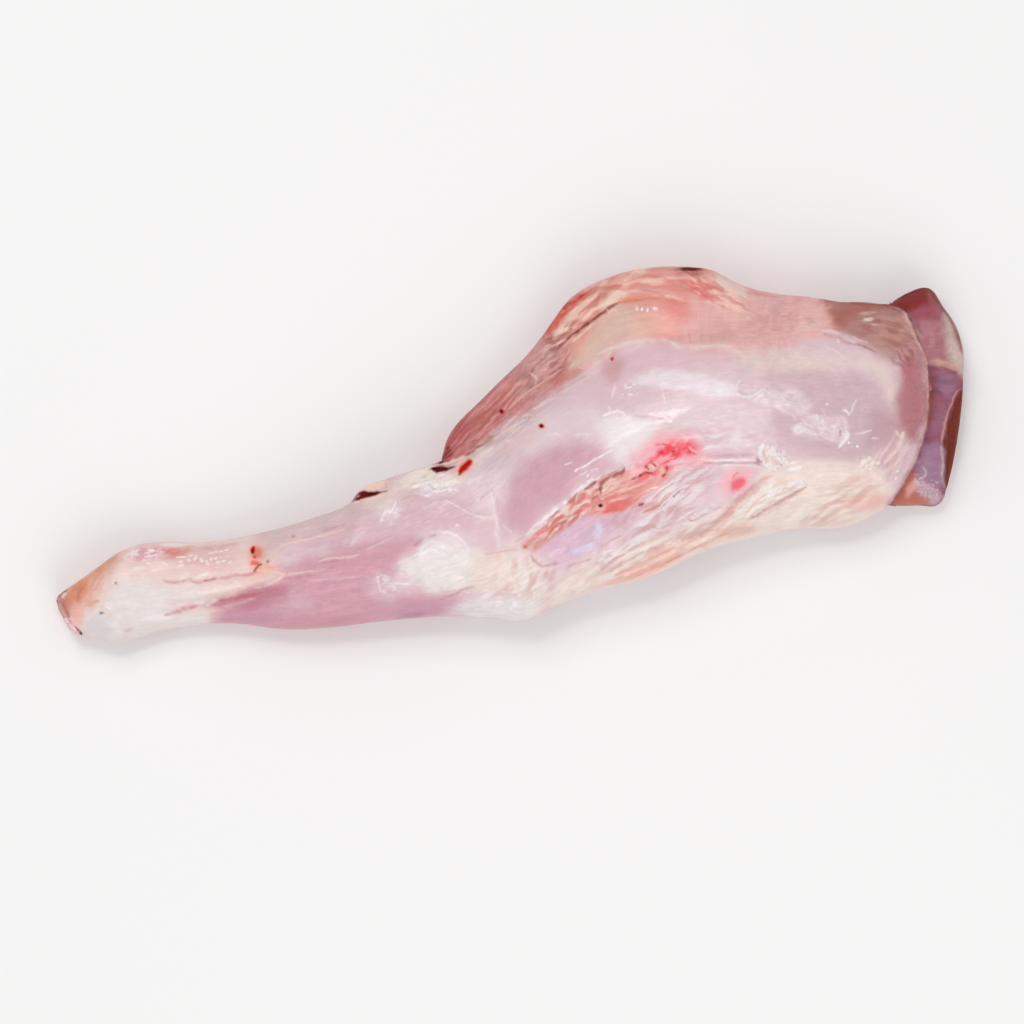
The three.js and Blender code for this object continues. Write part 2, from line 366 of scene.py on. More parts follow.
# %% Palette
PALETTE = {
    "lilac": (226, 198, 204),
    "pale lilac": (231, 212, 217),
    "grey lilac": (209, 180, 187),
    "lavender": (212, 166, 177),
    "blade rose": (226, 192, 200),
    "lilac rose": (219, 186, 193),
    "rose": (211, 160, 172),
    "deep rose": (199, 117, 131),
    "violet": (204, 151, 174),
    "orchid": (221, 188, 208),
    "film": (217, 189, 189),
    "milk": (241, 232, 232),
    "silver": (247, 239, 242),
    # The next two tints are painted highlights: a sheen over milky film, and a bluish glint.
    "sheen": (244, 233, 239),
    "painted blue highlight": (224, 216, 240),
    "shank film": (236, 209, 204),
    "wet pink": (238, 178, 183),
    "wine rose": (194, 127, 143),
    "bone white": (230, 221, 219),
    "cold grey": (219, 214, 213),
    "tendon": (243, 227, 219),
    "peach": (227, 178, 163),
    "pale peach": (251, 209, 191),
    "orange": (221, 140, 106),
    "pad white": (238, 231, 226),
    "elbow cream": (236, 218, 210),
    "elbow white": (233, 228, 225),
    "ivory": (243, 231, 218),
    "cream": (241, 223, 214),
    "warm cream": (240, 212, 197),
    "cap cream": (231, 209, 204),
    "straw": (216, 186, 172),
    "tan": (208, 162, 150),
    "beige": (229, 178, 166),
    "crook pink": (231, 152, 148),
    "rim rose": (178, 117, 125),
    "salmon": (230, 159, 150),
    "pale salmon": (239, 181, 171),
    "dusty salmon": (223, 174, 170),
    "pale rose": (233, 186, 182),
    "lip red": (216, 94, 78),
    "coral": (230, 102, 102),
    "deep salmon": (217, 126, 117),
    "brown film": (180, 131, 123),
    "russet": (172, 100, 88),
    "terracotta": (200, 124, 110),
    "brick": (200, 122, 120),
    "dusty brick": (202, 154, 151),
    "raspberry": (190, 88, 98),
    "sienna": (194, 116, 100),
    "umber": (150, 82, 70),
    "dark red": (138, 36, 34),
    "maroon": (104, 10, 14),
    "near black": (34, 6, 8),
    "mauve": (181, 124, 133),
    "dusty rose": (207, 153, 155),
    "plum": (150, 89, 103),
    "bruise": (160, 106, 126),
    "dull violet": (163, 125, 150),
    "liver": (120, 54, 43),
    "flap red": (138, 56, 52),
    "flap fat": (212, 190, 182),
    "frost": (208, 197, 200),
    "blush": (248, 183, 191),
    "fresh blood": (241, 64, 86),
    "blood": (186, 18, 10),
    "blood halo": (246, 168, 144),
}


def linear(colour):
    share = np.array(colour) / 255
    return np.where(share < 0.04045, share / 12.92, ((share + 0.055) / 1.055) ** 2.4)


TINTS = {name: linear(colour) for name, colour in PALETTE.items()}
print(len(TINTS), "tints")

# %% [markdown]
# ## What lies where
# Each muscle, film, fold and spot is drawn once and used twice: its height in millimetres moves the skin,
# and its tint colours it. Some lines and patches paint the shade beside folds and strands, and a few paint
# highlights. Broad areas come first, then patches, wrinkles, flecks and lines, as a painter would lay them.
# All places are pixels of the picture.

# %% Broad areas of the limb
# Each area: a tint, how soft its edge is in pixels, its strength, its height, and its outline.
AREAS = {
    "shank": ("shank film", 10, 1.0, 0, [(50, 600), (80, 566), (125, 540), (262, 526), (270, 580),
        (240, 634), (150, 642), (110, 652), (56, 642)]),
    "knuckle bone": ("bone white", 9, 0.95, 0, [(84, 614), (104, 600), (112, 584), (135, 580), (170, 588),
        (205, 592), (196, 602), (168, 612), (200, 612), (210, 624), (150, 636), (120, 648), (96, 642),
        (82, 634)]),
    "stained knuckle": ("peach", 7, 0.85, 0, [(55, 602), (72, 578), (112, 551), (122, 547), (121, 555),
        (82, 607), (68, 616)]),
    "cold knuckle": ("cold grey", 5, 0.8, 0, [(86, 615), (96, 613), (108, 615), (112, 624), (108, 636),
        (96, 634), (86, 630)]),
    "wet band": ("wet pink", 4, 0.9, 0, [(131, 552), (140, 547), (160, 546), (164, 552), (158, 559),
        (142, 560), (132, 558)]),
    "red of the shank": ("deep salmon", 4, 0.55, 0, [(152, 549), (186, 545), (192, 549), (186, 555),
        (172, 558), (164, 556)]),
    "forearm": ("rose", 10, 0.95, 0, [(215, 622), (225, 606), (284, 571), (326, 552), (372, 540),
        (410, 535), (425, 546), (404, 562), (392, 578), (404, 592), (440, 600), (424, 622), (350, 634),
        (290, 638), (240, 636)]),
    "rose wedge": ("wine rose", 6, 0.85, 0, [(203, 606), (218, 599), (264, 585), (284, 589), (286, 604),
        (262, 611)]),
    "forearm film": ("film", 10, 0.9, 0, [(258, 530), (300, 516), (392, 478), (420, 478), (400, 496),
        (372, 514), (300, 536), (276, 548), (262, 560)]),
    "upper forearm": ("lilac rose", 10, 0.85, 0, [(372, 520), (400, 500), (425, 492), (470, 490),
        (490, 500), (470, 530), (440, 530), (372, 542)]),
    "elbow pad": ("pad white", 11, 0.9, 0.3, [(402, 568), (424, 546), (440, 540), (460, 546), (470, 552),
        (480, 566), (476, 584), (462, 592), (440, 592), (418, 584)]),
    "elbow cream": ("elbow cream", 8, 0.9, 0, [(474, 556), (486, 551), (520, 548), (534, 560), (546, 580),
        (540, 600), (510, 592), (480, 594), (466, 590)]),
    "elbow point": ("elbow white", 7, 0.9, 0, [(455, 604), (480, 597), (500, 598), (520, 594), (540, 600),
        (530, 622), (500, 624), (470, 620)]),
    "upper arm": ("lavender", 13, 0.95, 0, [(508, 478), (526, 456), (556, 444), (592, 446), (606, 456),
        (534, 522), (508, 526), (499, 505)]),
    "film over the elbow": ("pale lilac", 12, 0.7, 0, [(458, 470), (510, 440), (545, 424), (560, 436),
        (530, 452), (512, 474), (494, 515), (476, 505), (462, 486)]),
    "film of the upper arm": ("pale lilac", 9, 0.7, 0, [(500, 436), (545, 414), (590, 404), (610, 414),
        (600, 440), (560, 438), (525, 450)]),
    "blade": ("lilac", 9, 0.95, 0, [(600, 376), (640, 348), (720, 350), (800, 368), (868, 368), (892, 386),
        (896, 430), (878, 466), (800, 458), (760, 450), (700, 458), (650, 424), (610, 412)]),
    "upper blade": ("blade rose", 9, 0.8, 0, [(606, 362), (640, 347), (700, 349), (740, 356), (730, 366),
        (640, 378), (600, 400)]),
    "middle of the blade": ("pale lilac", 12, 0.8, 0, [(640, 404), (700, 400), (750, 404), (775, 420),
        (755, 440), (700, 440), (665, 424)]),
    "grey end of the blade": ("grey lilac", 12, 0.9, 0, [(770, 376), (830, 370), (876, 378), (892, 408),
        (890, 440), (860, 462), (800, 456), (772, 436), (778, 405)]),
    "milk": ("milk", 9, 0.9, 0, [(596, 424), (616, 416), (662, 424), (655, 436), (636, 452), (618, 460),
        (606, 446)]),
    "cap film": ("cap cream", 7, 0.9, 0, [(736, 352), (760, 349), (800, 350), (842, 357), (872, 358),
        (888, 368), (898, 392), (900, 420), (888, 402), (880, 380), (858, 367), (820, 369), (745, 367)]),
    # The sheen of the blade is a painted highlight over milky film.
    "sheen of the blade": ("sheen", 4.5, 0.9, 0.15, [(631, 381), (638, 376), (645, 374), (671, 371),
        (705, 375), (732, 385), (735, 391), (731, 396), (710, 398), (690, 391), (648, 385), (640, 387)]),
    "torn film of the blade": ("pale lilac", 3, 0.8, 0.25, [(793, 428), (803, 420), (815, 414), (830, 416),
        (845, 416), (848, 430), (846, 440), (838, 443), (825, 438), (810, 435), (795, 434)]),
    "second torn film": ("pale lilac", 4, 0.7, 0.1, [(742, 387), (760, 389), (775, 385), (795, 387),
        (812, 404), (806, 414), (795, 417), (750, 400)]),
}
print(len(AREAS), "areas of the limb")

# %% Broad areas of the breast side, the crook, the fat and the folded end
AREAS |= {
    "breast band": ("salmon", 8, 1.0, 0, [(546, 350), (560, 312), (585, 288), (640, 264), (700, 260),
        (735, 280), (800, 293), (850, 298), (850, 328), (800, 338), (740, 348), (640, 341), (612, 348),
        (590, 362), (560, 376)]),
    "striped band": ("pale rose", 10, 0.95, 0, [(690, 300), (800, 300), (826, 306), (830, 330), (790, 346),
        (740, 350), (680, 346)]),
    "straw band": ("straw", 11, 0.95, 0, [(560, 366), (596, 324), (618, 308), (640, 312), (646, 334),
        (624, 343), (578, 374)]),
    "cream lip": ("warm cream", 4, 0.85, 0.5, [(599, 313), (598, 303), (607, 294), (618, 286), (630, 281),
        (627, 294), (616, 303)]),
    "red lip": ("lip red", 4, 1.0, 0, [(540, 338), (550, 320), (562, 306), (574, 297), (590, 288),
        (582, 300), (570, 310), (550, 335)]),
    "brown corner": ("brown film", 7, 0.95, 0, [(826, 299), (880, 300), (905, 308), (922, 350), (906, 352),
        (860, 340), (836, 328)]),
    "russet corner": ("russet", 5, 0.75, 0, [(817, 298), (890, 306), (850, 318), (838, 326), (827, 314)]),
    "rim": ("rim rose", 8, 0.9, 0, [(902, 352), (916, 346), (926, 366), (929, 400), (925, 430), (912, 446),
        (900, 434), (894, 412)]),
    "breast layer": ("brick", 5, 1.0, 0, [(434, 470), (440, 440), (448, 428), (518, 358), (545, 336),
        (560, 345), (567, 364), (560, 388), (504, 428), (482, 447), (462, 460)]),
    "upper breast layer": ("dusty brick", 10, 0.85, 0, [(512, 380), (520, 362), (542, 345), (558, 346),
        (562, 360), (552, 380), (540, 394), (524, 400)]),
    "crook tissue": ("crook pink", 4, 0.95, 0, [(524, 545), (548, 520), (594, 483), (617, 472), (664, 464),
        (668, 480), (640, 500), (606, 514), (580, 520), (558, 532), (535, 550)]),
    "lilac gap": ("orchid", 7, 0.95, 0, [(545, 550), (560, 534), (585, 519), (618, 516), (612, 530),
        (580, 558), (556, 562)]),
    "pleated film": ("pale lilac", 10, 0.85, 0, [(640, 512), (680, 482), (716, 468), (735, 485), (725, 505),
        (700, 520), (630, 546), (622, 528)]),
    "lower fat": ("cream", 8, 0.95, 0, [(540, 608), (560, 580), (598, 556), (700, 520), (735, 500),
        (765, 474), (800, 464), (862, 468), (892, 482), (896, 516), (860, 534), (740, 548), (640, 588),
        (590, 603)]),
    "fat ridge": ("ivory", 3, 0.85, 1.0, [(731, 513), (745, 500), (760, 488), (778, 483), (796, 480),
        (806, 482), (800, 489), (785, 495), (768, 504), (755, 515), (740, 520)]),
    "fluffy fat": ("tendon", 3.5, 0.8, 0.4, [(759, 444), (765, 442), (771, 446), (778, 453), (787, 460),
        (793, 465), (784, 468), (774, 466), (766, 464), (760, 457)]),
    "blush": ("blush", 9, 0.95, 0, [(630, 472), (638, 452), (648, 440), (662, 432), (684, 432), (698, 442),
        (705, 457), (690, 464), (672, 466), (660, 476), (644, 480)]),
    "flap": ("plum", 4, 1.0, 0, [(889, 304), (935, 284), (972, 330), (974, 395), (964, 440), (950, 516),
        (884, 516), (913, 466), (928, 412), (925, 360), (912, 320)]),
    "flap top": ("flap red", 3, 0.95, 0, [(882, 304), (905, 294), (920, 286), (934, 288), (940, 306),
        (924, 306), (908, 311)]),
    "flap raspberry": ("raspberry", 5, 0.3, 0, [(908, 312), (928, 304), (940, 310), (938, 320),
        (915, 320)]),
    "flap mauve": ("mauve", 4, 0.9, 0, [(917, 321), (942, 320), (946, 342), (945, 357), (927, 359),
        (920, 340)]),
    "flap fat": ("flap fat", 6, 0.95, 0, [(944, 316), (954, 326), (964, 350), (964, 374), (950, 364),
        (945, 345)]),
    "flap pocket": ("bruise", 3, 0.95, -0.4, [(929, 371), (942, 369), (957, 376), (959, 386), (951, 400),
        (941, 434), (928, 438)]),
    # The liver-dark strip is the deep lower layer, with its shade painted in.
    "flap liver": ("liver", 2, 1.0, 0, [(962, 390), (967, 400), (962, 425), (960, 440), (955, 464),
        (950, 482), (945, 486), (943, 465), (943, 445), (946, 428), (951, 412), (956, 399)]),
    "flap violet": ("dull violet", 4, 0.95, 0, [(921, 443), (940, 440), (944, 470), (942, 488), (928, 484),
        (914, 478)]),
    "flap frost": ("orchid", 4, 0.6, 0.2, [(914, 478), (922, 480), (930, 484), (938, 490), (944, 498),
        (936, 506), (924, 500), (916, 494), (912, 486)]),
    "flap terracotta": ("sienna", 3, 0.85, 0, [(890, 506), (913, 472), (915, 488), (930, 500), (916, 508)]),
}
print(len(AREAS), "areas in all")

# %% Patches of the shank, the forearm and the elbow
# Each patch: a tint, its middle, half-sizes in pixels, turn in degrees, strength and height.
PATCHES = [
    # Cut end of the knuckle
    ("terracotta", (64, 605), (8, 13), -25, 0.7, 0),
    ("mauve", (62, 602), (5, 9), -20, 0.5, 0),
    ("pale salmon", (78, 616), (6, 8), 10, 0.7, 0.4),
    ("blush", (68, 620), (4.5, 2.6), 15, 0.9, 0.7),
    ("blush", (72.5, 627), (3, 5), -30, 0.9, 0.8),
    ("blush", (77, 631), (2, 3.4), -30, 0.8, 0.6),
    # Knuckle and shank
    ("orange", (80, 590), (8, 14), -35, 0.85, 0),
    ("orange", (98, 569), (18, 6), 36, 0.4, 0),
    ("brown film", (111, 558), (8, 4), 36, 0.4, 0),
    ("umber", (115.5, 583), (1.6, 1.2), 0, 0.75, 0),
    ("umber", (101.5, 613), (2, 1.3), 0, 0.8, 0),
    ("tan", (128, 630), (5, 2), 15, 0.5, 0),
    ("tendon", (138, 568), (7, 2.2), 8, 0.9, 0.5),
    ("milk", (174, 545), (14, 1.8), 0, 0.8, 0.2),
    ("milk", (158, 618), (14, 3), 4, 0.7, 0.2),
    ("blade rose", (184, 606), (18, 5), 10, 0.6, 0),
    ("coral", (174, 552), (9, 3), -6, 0.5, 0),
    ("orange", (186, 549), (4, 3), 0, 0.5, 0),
    ("dusty salmon", (206, 558), (32, 11), 4, 0.5, 0),
    # Blood on the shank
    ("blood halo", (256, 556), (8.5, 14), -6, 0.65, 0),
    ("blood halo", (264, 570), (16, 6), 20, 0.5, 0),
    ("lip red", (257, 553), (5, 6), 0, 0.6, 0),
    ("coral", (255, 563), (5, 2.6), 0, 0.85, 0),
    # Forearm
    ("deep rose", (244, 597), (26, 3), 12, 0.35, -0.1),
    ("violet", (256, 616), (34, 8), 0, 0.7, 0),
    ("blade rose", (292, 604), (26, 9), 4, 0.4, 0),
    ("deep rose", (326, 622), (40, 6), 2, 0.2, 0),
    ("violet", (428, 607), (36, 10), 14, 0.65, 0),
    ("plum", (412, 615), (14, 2.4), 8, 0.25, 0),
    ("pale peach", (373, 486), (15, 4.5), 16, 0.9, 0.5),
    ("elbow cream", (384, 499), (20, 7), 15, 0.5, 0),
    ("pale lilac", (388, 588), (20, 14), 0, 0.45, 0),
    # Elbow
    ("ivory", (420, 477), (24, 8), 22, 0.85, 0.3),
    ("cream", (448, 480), (18, 6), 8, 0.8, 0.2),
    ("milk", (434, 488), (24, 8), -4, 0.5, 0.1),
    ("milk", (452, 541), (26, 10), -10, 0.2, 0.1),
    ("grey lilac", (494, 462), (20, 9), 20, 0.5, 0),
    ("milk", (390, 511), (13, 10), 40, 0.35, 0.1),
    ("blood halo", (465, 466.5), (11, 7), 40, 0.8, 0),
    ("milk", (457, 525), (1.8, 1.5), 0, 0.9, 0.3),
    ("straw", (509, 590), (11, 6), 40, 0.5, -0.3),
    ("silver", (488, 595), (8, 3), 25, 0.5, 0.3),
    ("silver", (513, 607), (4, 2.4), 30, 0.6, 0.3),
    ("silver", (514, 592), (5, 2), 25, 0.5, 0.3),
    ("cold grey", (474, 610), (16, 3.5), 0, 0.6, 0),
]
print(len(PATCHES), "patches so far")

# %% Patches of the breast side and the blade
PATCHES += [
    # Breast layer
    ("raspberry", (459, 428), (7, 12), -25, 0.6, 0),
    ("raspberry", (452, 444), (6, 12), -25, 0.6, 0),
    ("dark red", (447, 456), (5, 10), -25, 0.75, 0),
    ("terracotta", (572, 374), (11, 5), 30, 0.6, 0),
    ("dusty salmon", (548, 362), (22, 11), 40, 0.4, 0),
    ("blood halo", (542.5, 426.5), (4.8, 3.2), -30, 0.55, 0),
    ("pale lilac", (497, 432), (8, 4), 40, 0.7, 0.4),
    # Lip and peak of the breast side
    ("pale salmon", (588, 312), (12, 6), 45, 0.8, 0.4),
    ("warm cream", (562, 331), (10, 4), 42, 0.7, 0.4),
    ("dusty rose", (552, 346), (9, 5), 35, 0.6, 0),
    ("orange", (630, 300), (12, 3), 5, 0.6, 0),
    ("pale salmon", (660, 322), (22, 14), 0, 0.7, 0),
    ("peach", (646, 324), (12, 16), 0, 0.55, 0),
    ("warm cream", (642, 288), (14, 4), 4, 0.6, 0.3),
    ("warm cream", (638, 271), (9, 4), 0, 0.75, 0),
    ("pale salmon", (664, 282), (24, 10), 0, 0.5, 0),
    ("deep salmon", (711, 291), (8, 5), -30, 0.5, 0),
    ("lip red", (561, 318), (15, 4), 48, 0.5, 0),
    ("russet", (691, 272), (14, 5), 0, 0.8, 0),
    ("coral", (696, 284), (16, 7), -30, 0.35, 0),
    ("silver", (637, 308.5), (1.2, 2.4), 10, 0.7, 0.2),
    ("silver", (655, 308.5), (2.4, 1.5), 0, 0.8, 0.2),
    ("cream", (730, 287), (22, 6), -28, 0.8, 0.3),
    ("coral", (680, 311), (20, 11), -10, 0.25, 0),
    ("dusty rose", (714, 332), (26, 13), 0, 0.4, 0),
    ("dusty rose", (766, 326), (30, 12), 0, 0.25, 0),
    ("warm cream", (804, 326), (18, 5), 10, 0.5, 0.1),
    ("pale rose", (785, 303), (40, 8), -6, 0.6, 0),
    ("dusty rose", (612, 366), (11, 17), 0, 0.6, 0),
    # Cap of the blade
    ("brown film", (888, 344), (28, 14), -24, 0.65, 0),
    ("raspberry", (908, 368), (7, 16), 0, 0.3, 0),
    ("raspberry", (914, 404), (8, 22), 0, 0.2, 0),
    ("ivory", (869, 319.5), (5, 1.9), 4, 0.75, 0.4),
    ("warm cream", (868, 313), (8, 1.8), 4, 0.45, 0.2),
    ("warm cream", (874, 324), (4, 1.6), -10, 0.4, 0.1),
    # Blade
    # Soft upper edge of the blade's painted sheen, over film.
    ("pale lilac", (690, 376), (46, 8), 0, 0.35, 0),
    ("milk", (618, 427), (18, 7), 8, 0.5, 0),
    ("milk", (798, 430), (5, 4), 10, 0.6, 0.2),
    ("plum", (758, 462), (3, 4), 30, 0.5, -0.4),
    ("mauve", (882, 430), (15, 22), 0, 0.35, 0),
    ("silver", (896, 478), (1.3, 1.8), -20, 0.8, 0.2),
    # Upper arm
    ("rose", (548, 486), (12, 16), 35, 0.3, 0),
]
print(len(PATCHES), "patches so far")

# %% Patches of the crook, the fat and the folded end
PATCHES += [
    # Crook
    ("coral", (617, 506), (22, 6), 10, 0.7, 0),
    ("deep salmon", (564, 522), (22, 6), 38, 0.6, 0),
    ("beige", (613, 483), (9, 6), 30, 0.7, 0.3),
    ("sienna", (571, 501), (6, 3.5), 42, 0.6, -0.3),
    ("tan", (535, 544), (8, 5), 30, 0.7, -0.4),
    ("sienna", (525, 547), (2.2, 1.7), 0, 0.85, -0.3),
    ("warm cream", (600.5, 507), (5, 4), 0, 0.6, 0),
    # Painted highlights on the lilac gap.
    ("painted blue highlight", (598, 531), (4, 8), -15, 0.8, 0.2),
    ("painted blue highlight", (583, 548), (13, 4), 18, 0.75, 0.2),
    ("rose", (624, 520), (18, 8), 20, 0.5, 0),
    # Blood by the crook
    ("fresh blood", (679, 448), (19, 9), 0, 0.9, 0),
    ("fresh blood", (660, 460), (20, 8), 35, 0.7, 0),
    ("warm cream", (652, 468), (7, 4), 30, 0.9, 0.4),
    ("warm cream", (659, 471), (4, 2.4), 30, 0.8, 0.3),
    ("pale salmon", (650, 483), (20, 6), 34, 0.6, 0),
    ("salmon", (656, 504), (14, 5), 30, 0.5, 0),
    ("blush", (702, 461), (14, 6), 20, 0.6, 0),
    ("blush", (736, 481), (18, 12), 40, 0.85, 0),
    ("fresh blood", (738, 484), (8, 5.5), 40, 0.75, 0),
    # Lower fat
    ("pale salmon", (655, 566), (28, 5), 27, 0.75, 0),
    ("salmon", (664, 563), (16, 3.5), 29, 0.5, 0),
    ("pale salmon", (663, 548), (15, 6), 24, 0.6, 0),
    ("pale salmon", (622, 579), (16, 4), 22, 0.5, 0),
    ("dusty rose", (706, 530), (28, 4), 28, 0.5, -0.4),
    # Pink flesh with painted shade above the fat ridge.
    ("dusty rose", (742, 500), (30, 5), 42, 0.55, -0.5),
    ("peach", (735, 531), (20, 6), 8, 0.7, 0),
    ("silver", (612, 553), (13, 6), 38, 0.5, 0.3),
    ("pale salmon", (866, 502), (22, 9), 6, 0.65, 0),
    ("straw", (850, 495.5), (9, 2.4), 4, 0.75, 0),
    ("elbow cream", (826, 466), (40, 6), -3, 0.6, 0),
    ("dusty salmon", (862, 482), (16, 8), 0, 0.35, 0),
    # Painted glint on the fat ridge.
    ("silver", (797, 483), (9, 3), 15, 0.7, 0.3),
    ("silver", (796, 468), (7, 1.8), 12, 0.8, 0.3),
    # Folded end
    ("dull violet", (946, 385), (8, 11), 0, 0.65, 0),
    ("tan", (944, 364.5), (17, 4.5), -12, 0.8, 0.4),
    ("plum", (935, 438), (10, 5), 10, 0.6, -0.3),
    ("pale salmon", (911, 488), (4, 9), -30, 0.6, 0),
    ("mauve", (936, 304), (6, 12), 30, 0.35, 0),
    # Warmer and paler places
    ("rose", (690, 498), (32, 14), 34, 0.3, 0),
    ("dusty salmon", (520, 440), (20, 9), 34, 0.35, 0),
    ("rose", (330, 535), (30, 9), 16, 0.4, 0),
    ("dusty salmon", (545, 360), (15, 7), 40, 0.4, 0),
    ("pale salmon", (590, 305), (16, 7), 42, 0.4, 0),
    ("ivory", (800, 515), (26, 9), 20, 0.5, 0),
    ("pale rose", (790, 318), (26, 9), 0, 0.35, 0),
]
print(len(PATCHES), "patches in all")

# %% Fields of wrinkles
# Each field: its middle, half-sizes in pixels and turn in degrees, the spacing and length of a wrinkle in
# pixels, its height, the tints of its furrows and its crests, and their strength. The darker furrow tint is
# the flesh in a furrow together with its painted shade; the crest tint is pale film.
WRINKLES = [
    ((572, 512), (48, 11), 38, 4.5, 18, 0.8, "sienna", "tendon", 0.6),  # crook
    ((630, 488), (36, 14), 24, 6, 30, 0.6, "deep salmon", "warm cream", 0.45),
    ((660, 460), (30, 15), 32, 5.5, 12, 0.6, "fresh blood", "blush", 0.6),  # blood
    ((672, 500), (50, 20), 38, 5, 26, 0.6, "dusty rose", "milk", 0.55),  # pleated film
    ((636, 548), (60, 15), 30, 6, 26, 0.5, "dusty rose", "milk", 0.4),  # lower fat
    ((660, 562), (66, 11), 27, 5, 40, 0.4, "salmon", "pale peach", 0.5),
    ((704, 530), (46, 13), 28, 6, 38, 0.6, "dusty rose", "cream", 0.5),
    ((768, 500), (40, 12), 30, 4.5, 18, 0.5, "beige", "milk", 0.4),
    ((830, 508), (52, 18), 26, 8, 32, 0.55, "tan", "ivory", 0.4),
    ((584, 576), (24, 14), 40, 6, 16, 0.35, "straw", "milk", 0.3),
    ((532, 575), (20, 22), 70, 6, 16, 0.5, "dusty rose", "milk", 0.5),  # elbow
    ((505, 566), (24, 16), 75, 8, 22, 0.3, "beige", "ivory", 0.3),
    ((428, 484), (28, 10), 18, 4.5, 12, 0.45, "straw", "silver", 0.5),
    ((590, 305), (48, 13), 42, 6, 28, 0.75, "sienna", "warm cream", 0.6),  # lip
    ((560, 338), (22, 9), 36, 4.5, 18, 0.5, "umber", "warm cream", 0.5),
    ((655, 284), (52, 10), 0, 6, 30, 0.5, "deep salmon", "pale peach", 0.55),  # peak
    ((716, 292), (36, 12), -28, 4.5, 18, 0.6, "deep salmon", "pale peach", 0.65),
    ((786, 318), (44, 18), 20, 6, 10, 0.35, "dusty rose", "pale salmon", 0.5),  # breast side
    ((500, 438), (46, 11), 36, 5, 16, 0.4, "grey lilac", "cream", 0.55),  # edge of the upper arm
    ((545, 372), (34, 14), 42, 5, 12, 0.4, "umber", "beige", 0.4),  # breast layer
    ((712, 320), (36, 24), 90, 4.5, 26, 0.2, "dusty rose", "pale salmon", 0.2),  # stripes over the blade
    ((780, 318), (46, 20), 75, 7, 20, 0.2, "dusty rose", "pale salmon", 0.25),
    ((484, 416), (54, 20), 46, 3.6, 60, 0.3, "umber", "dusty salmon", 0.4),  # breast layer
    ((536, 372), (30, 16), 42, 5, 24, 0.35, "umber", "beige", 0.3),
    ((145, 554), (19, 7), 4, 4, 7, 0.45, "lavender", "silver", 0.6),  # shank
    ((176, 551), (18, 6), 4, 4.5, 12, 0.3, "deep salmon", "pale peach", 0.35),
    ((92, 585), (26, 16), 55, 4, 18, 0.25, "orange", "peach", 0.4),
    ((715, 436), (46, 12), 0, 6, 16, 0.25, "lavender", "silver", 0.3),  # blade
    ((820, 425), (32, 12), -18, 5, 10, 0.3, "lavender", "milk", 0.3),
    ((775, 398), (24, 12), -20, 6, 12, 0.25, "grey lilac", "milk", 0.4),
    ((905, 356), (10, 18), -50, 4, 14, 0.3, "plum", "dusty rose", 0.5),  # rim
    ((890, 330), (30, 18), -15, 5, 16, 0.3, "umber", "tan", 0.4),
    ((893, 456), (30, 14), 57, 6, 34, 0.5, "dusty rose", "cream", 0.4),
    ((933, 340), (12, 20), 80, 6, 20, 0.25, "plum", "dusty rose", 0.25),  # folded end
]


def wrinkle_crests(skin, middle, half, degrees, spacing, length, seed):
    """Points of a wrinkle field, their weight, and a wavy ridge pattern from -1 to 1."""
    chosen, weight = oval(skin, middle, half, degrees, seed)
    along, across = turned(skin.pixels[chosen] - middle, degrees)
    sway = 0.6 * spacing * noise(skin.pixels[chosen], 4 * spacing, seed + 5)
    pattern = noise(np.stack([along / length, (across + sway) / spacing], axis=1), 1.0, seed)
    return chosen, weight, np.clip(2.2 * pattern, -1, 1)


print(len(WRINKLES), "fields of wrinkles")

# %% Flecks and shreds
# Each field: a tint, its middle, half-sizes in pixels, turn in degrees, the size of a fleck in pixels, how
# much of the field is covered, from 0 to 1, its strength and its height.
FLECKS = [
    # The silver flecks of the wet band are painted highlights.
    ("silver", (146, 554), (17, 6), 4, 4, 0.45, 0.5, 0.3),  # wet band
    ("silver", (438, 488), (16, 6), -10, 4, 0.5, 0.7, 0.35),  # elbow and forearm
    ("silver", (390, 511), (12, 10), 50, 5, 0.35, 0.6, 0.2),
    ("milk", (384, 584), (18, 10), 0, 6, 0.4, 0.5, 0.15),
    # The first field here is the ragged end of the blade's painted sheen; the rest are torn film.
    ("silver", (630, 389), (10, 6), 20, 5, 0.5, 0.8, 0.25),  # torn film of the blade
    ("milk", (762, 394), (10, 7), 0, 5, 0.45, 0.6, 0.2),
    ("milk", (822, 424), (30, 12), -14, 5, 0.4, 0.4, 0.2),
    ("milk", (846, 440), (10, 8), -30, 4, 0.4, 0.6, 0.25),
    ("milk", (775, 459), (18, 12), -25, 4, 0.55, 0.85, 0.5),  # fat below the blade
    ("ivory", (868, 464), (11, 8), 10, 6, 0.5, 0.8, 0.3),
    ("silver", (785, 489), (20, 7), 25, 5, 0.35, 0.6, 0.25),
    ("silver", (595, 476), (18, 8), 35, 5, 0.4, 0.7, 0.25),  # crook and pleats
    ("milk", (606, 556), (14, 10), 40, 5, 0.4, 0.6, 0.25),
    ("milk", (692, 516), (18, 9), 30, 5, 0.3, 0.5, 0.2),
    ("frost", (929, 488), (17, 12), -35, 2.6, 0.4, 0.6, 0.25),  # folded end
    ("cap cream", (796, 356), (60, 8), -4, 6, 0.3, 0.4, 0.12),  # cap of the blade
    ("silver", (500, 600), (34, 12), 10, 7, 0.35, 0.4, 0.2),  # elbow point and pad
    ("milk", (440, 566), (34, 22), 20, 9, 0.35, 0.3, 0.15),
]


def flecks(skin, middle, half, degrees, size, cover, seed):
    """Points of a field of torn flecks, and how far each is covered."""
    chosen, weight = oval(skin, middle, half, degrees, seed)
    along, across = turned(skin.pixels[chosen] - middle, degrees)
    pattern = noise(np.stack([0.7 * along, across], axis=1), size, seed, octaves=3)
    least = 0.5 - 0.8 * cover
    return chosen, weight * smooth_step(least, least + 0.22, pattern)


print(len(FLECKS), "fields of flecks")

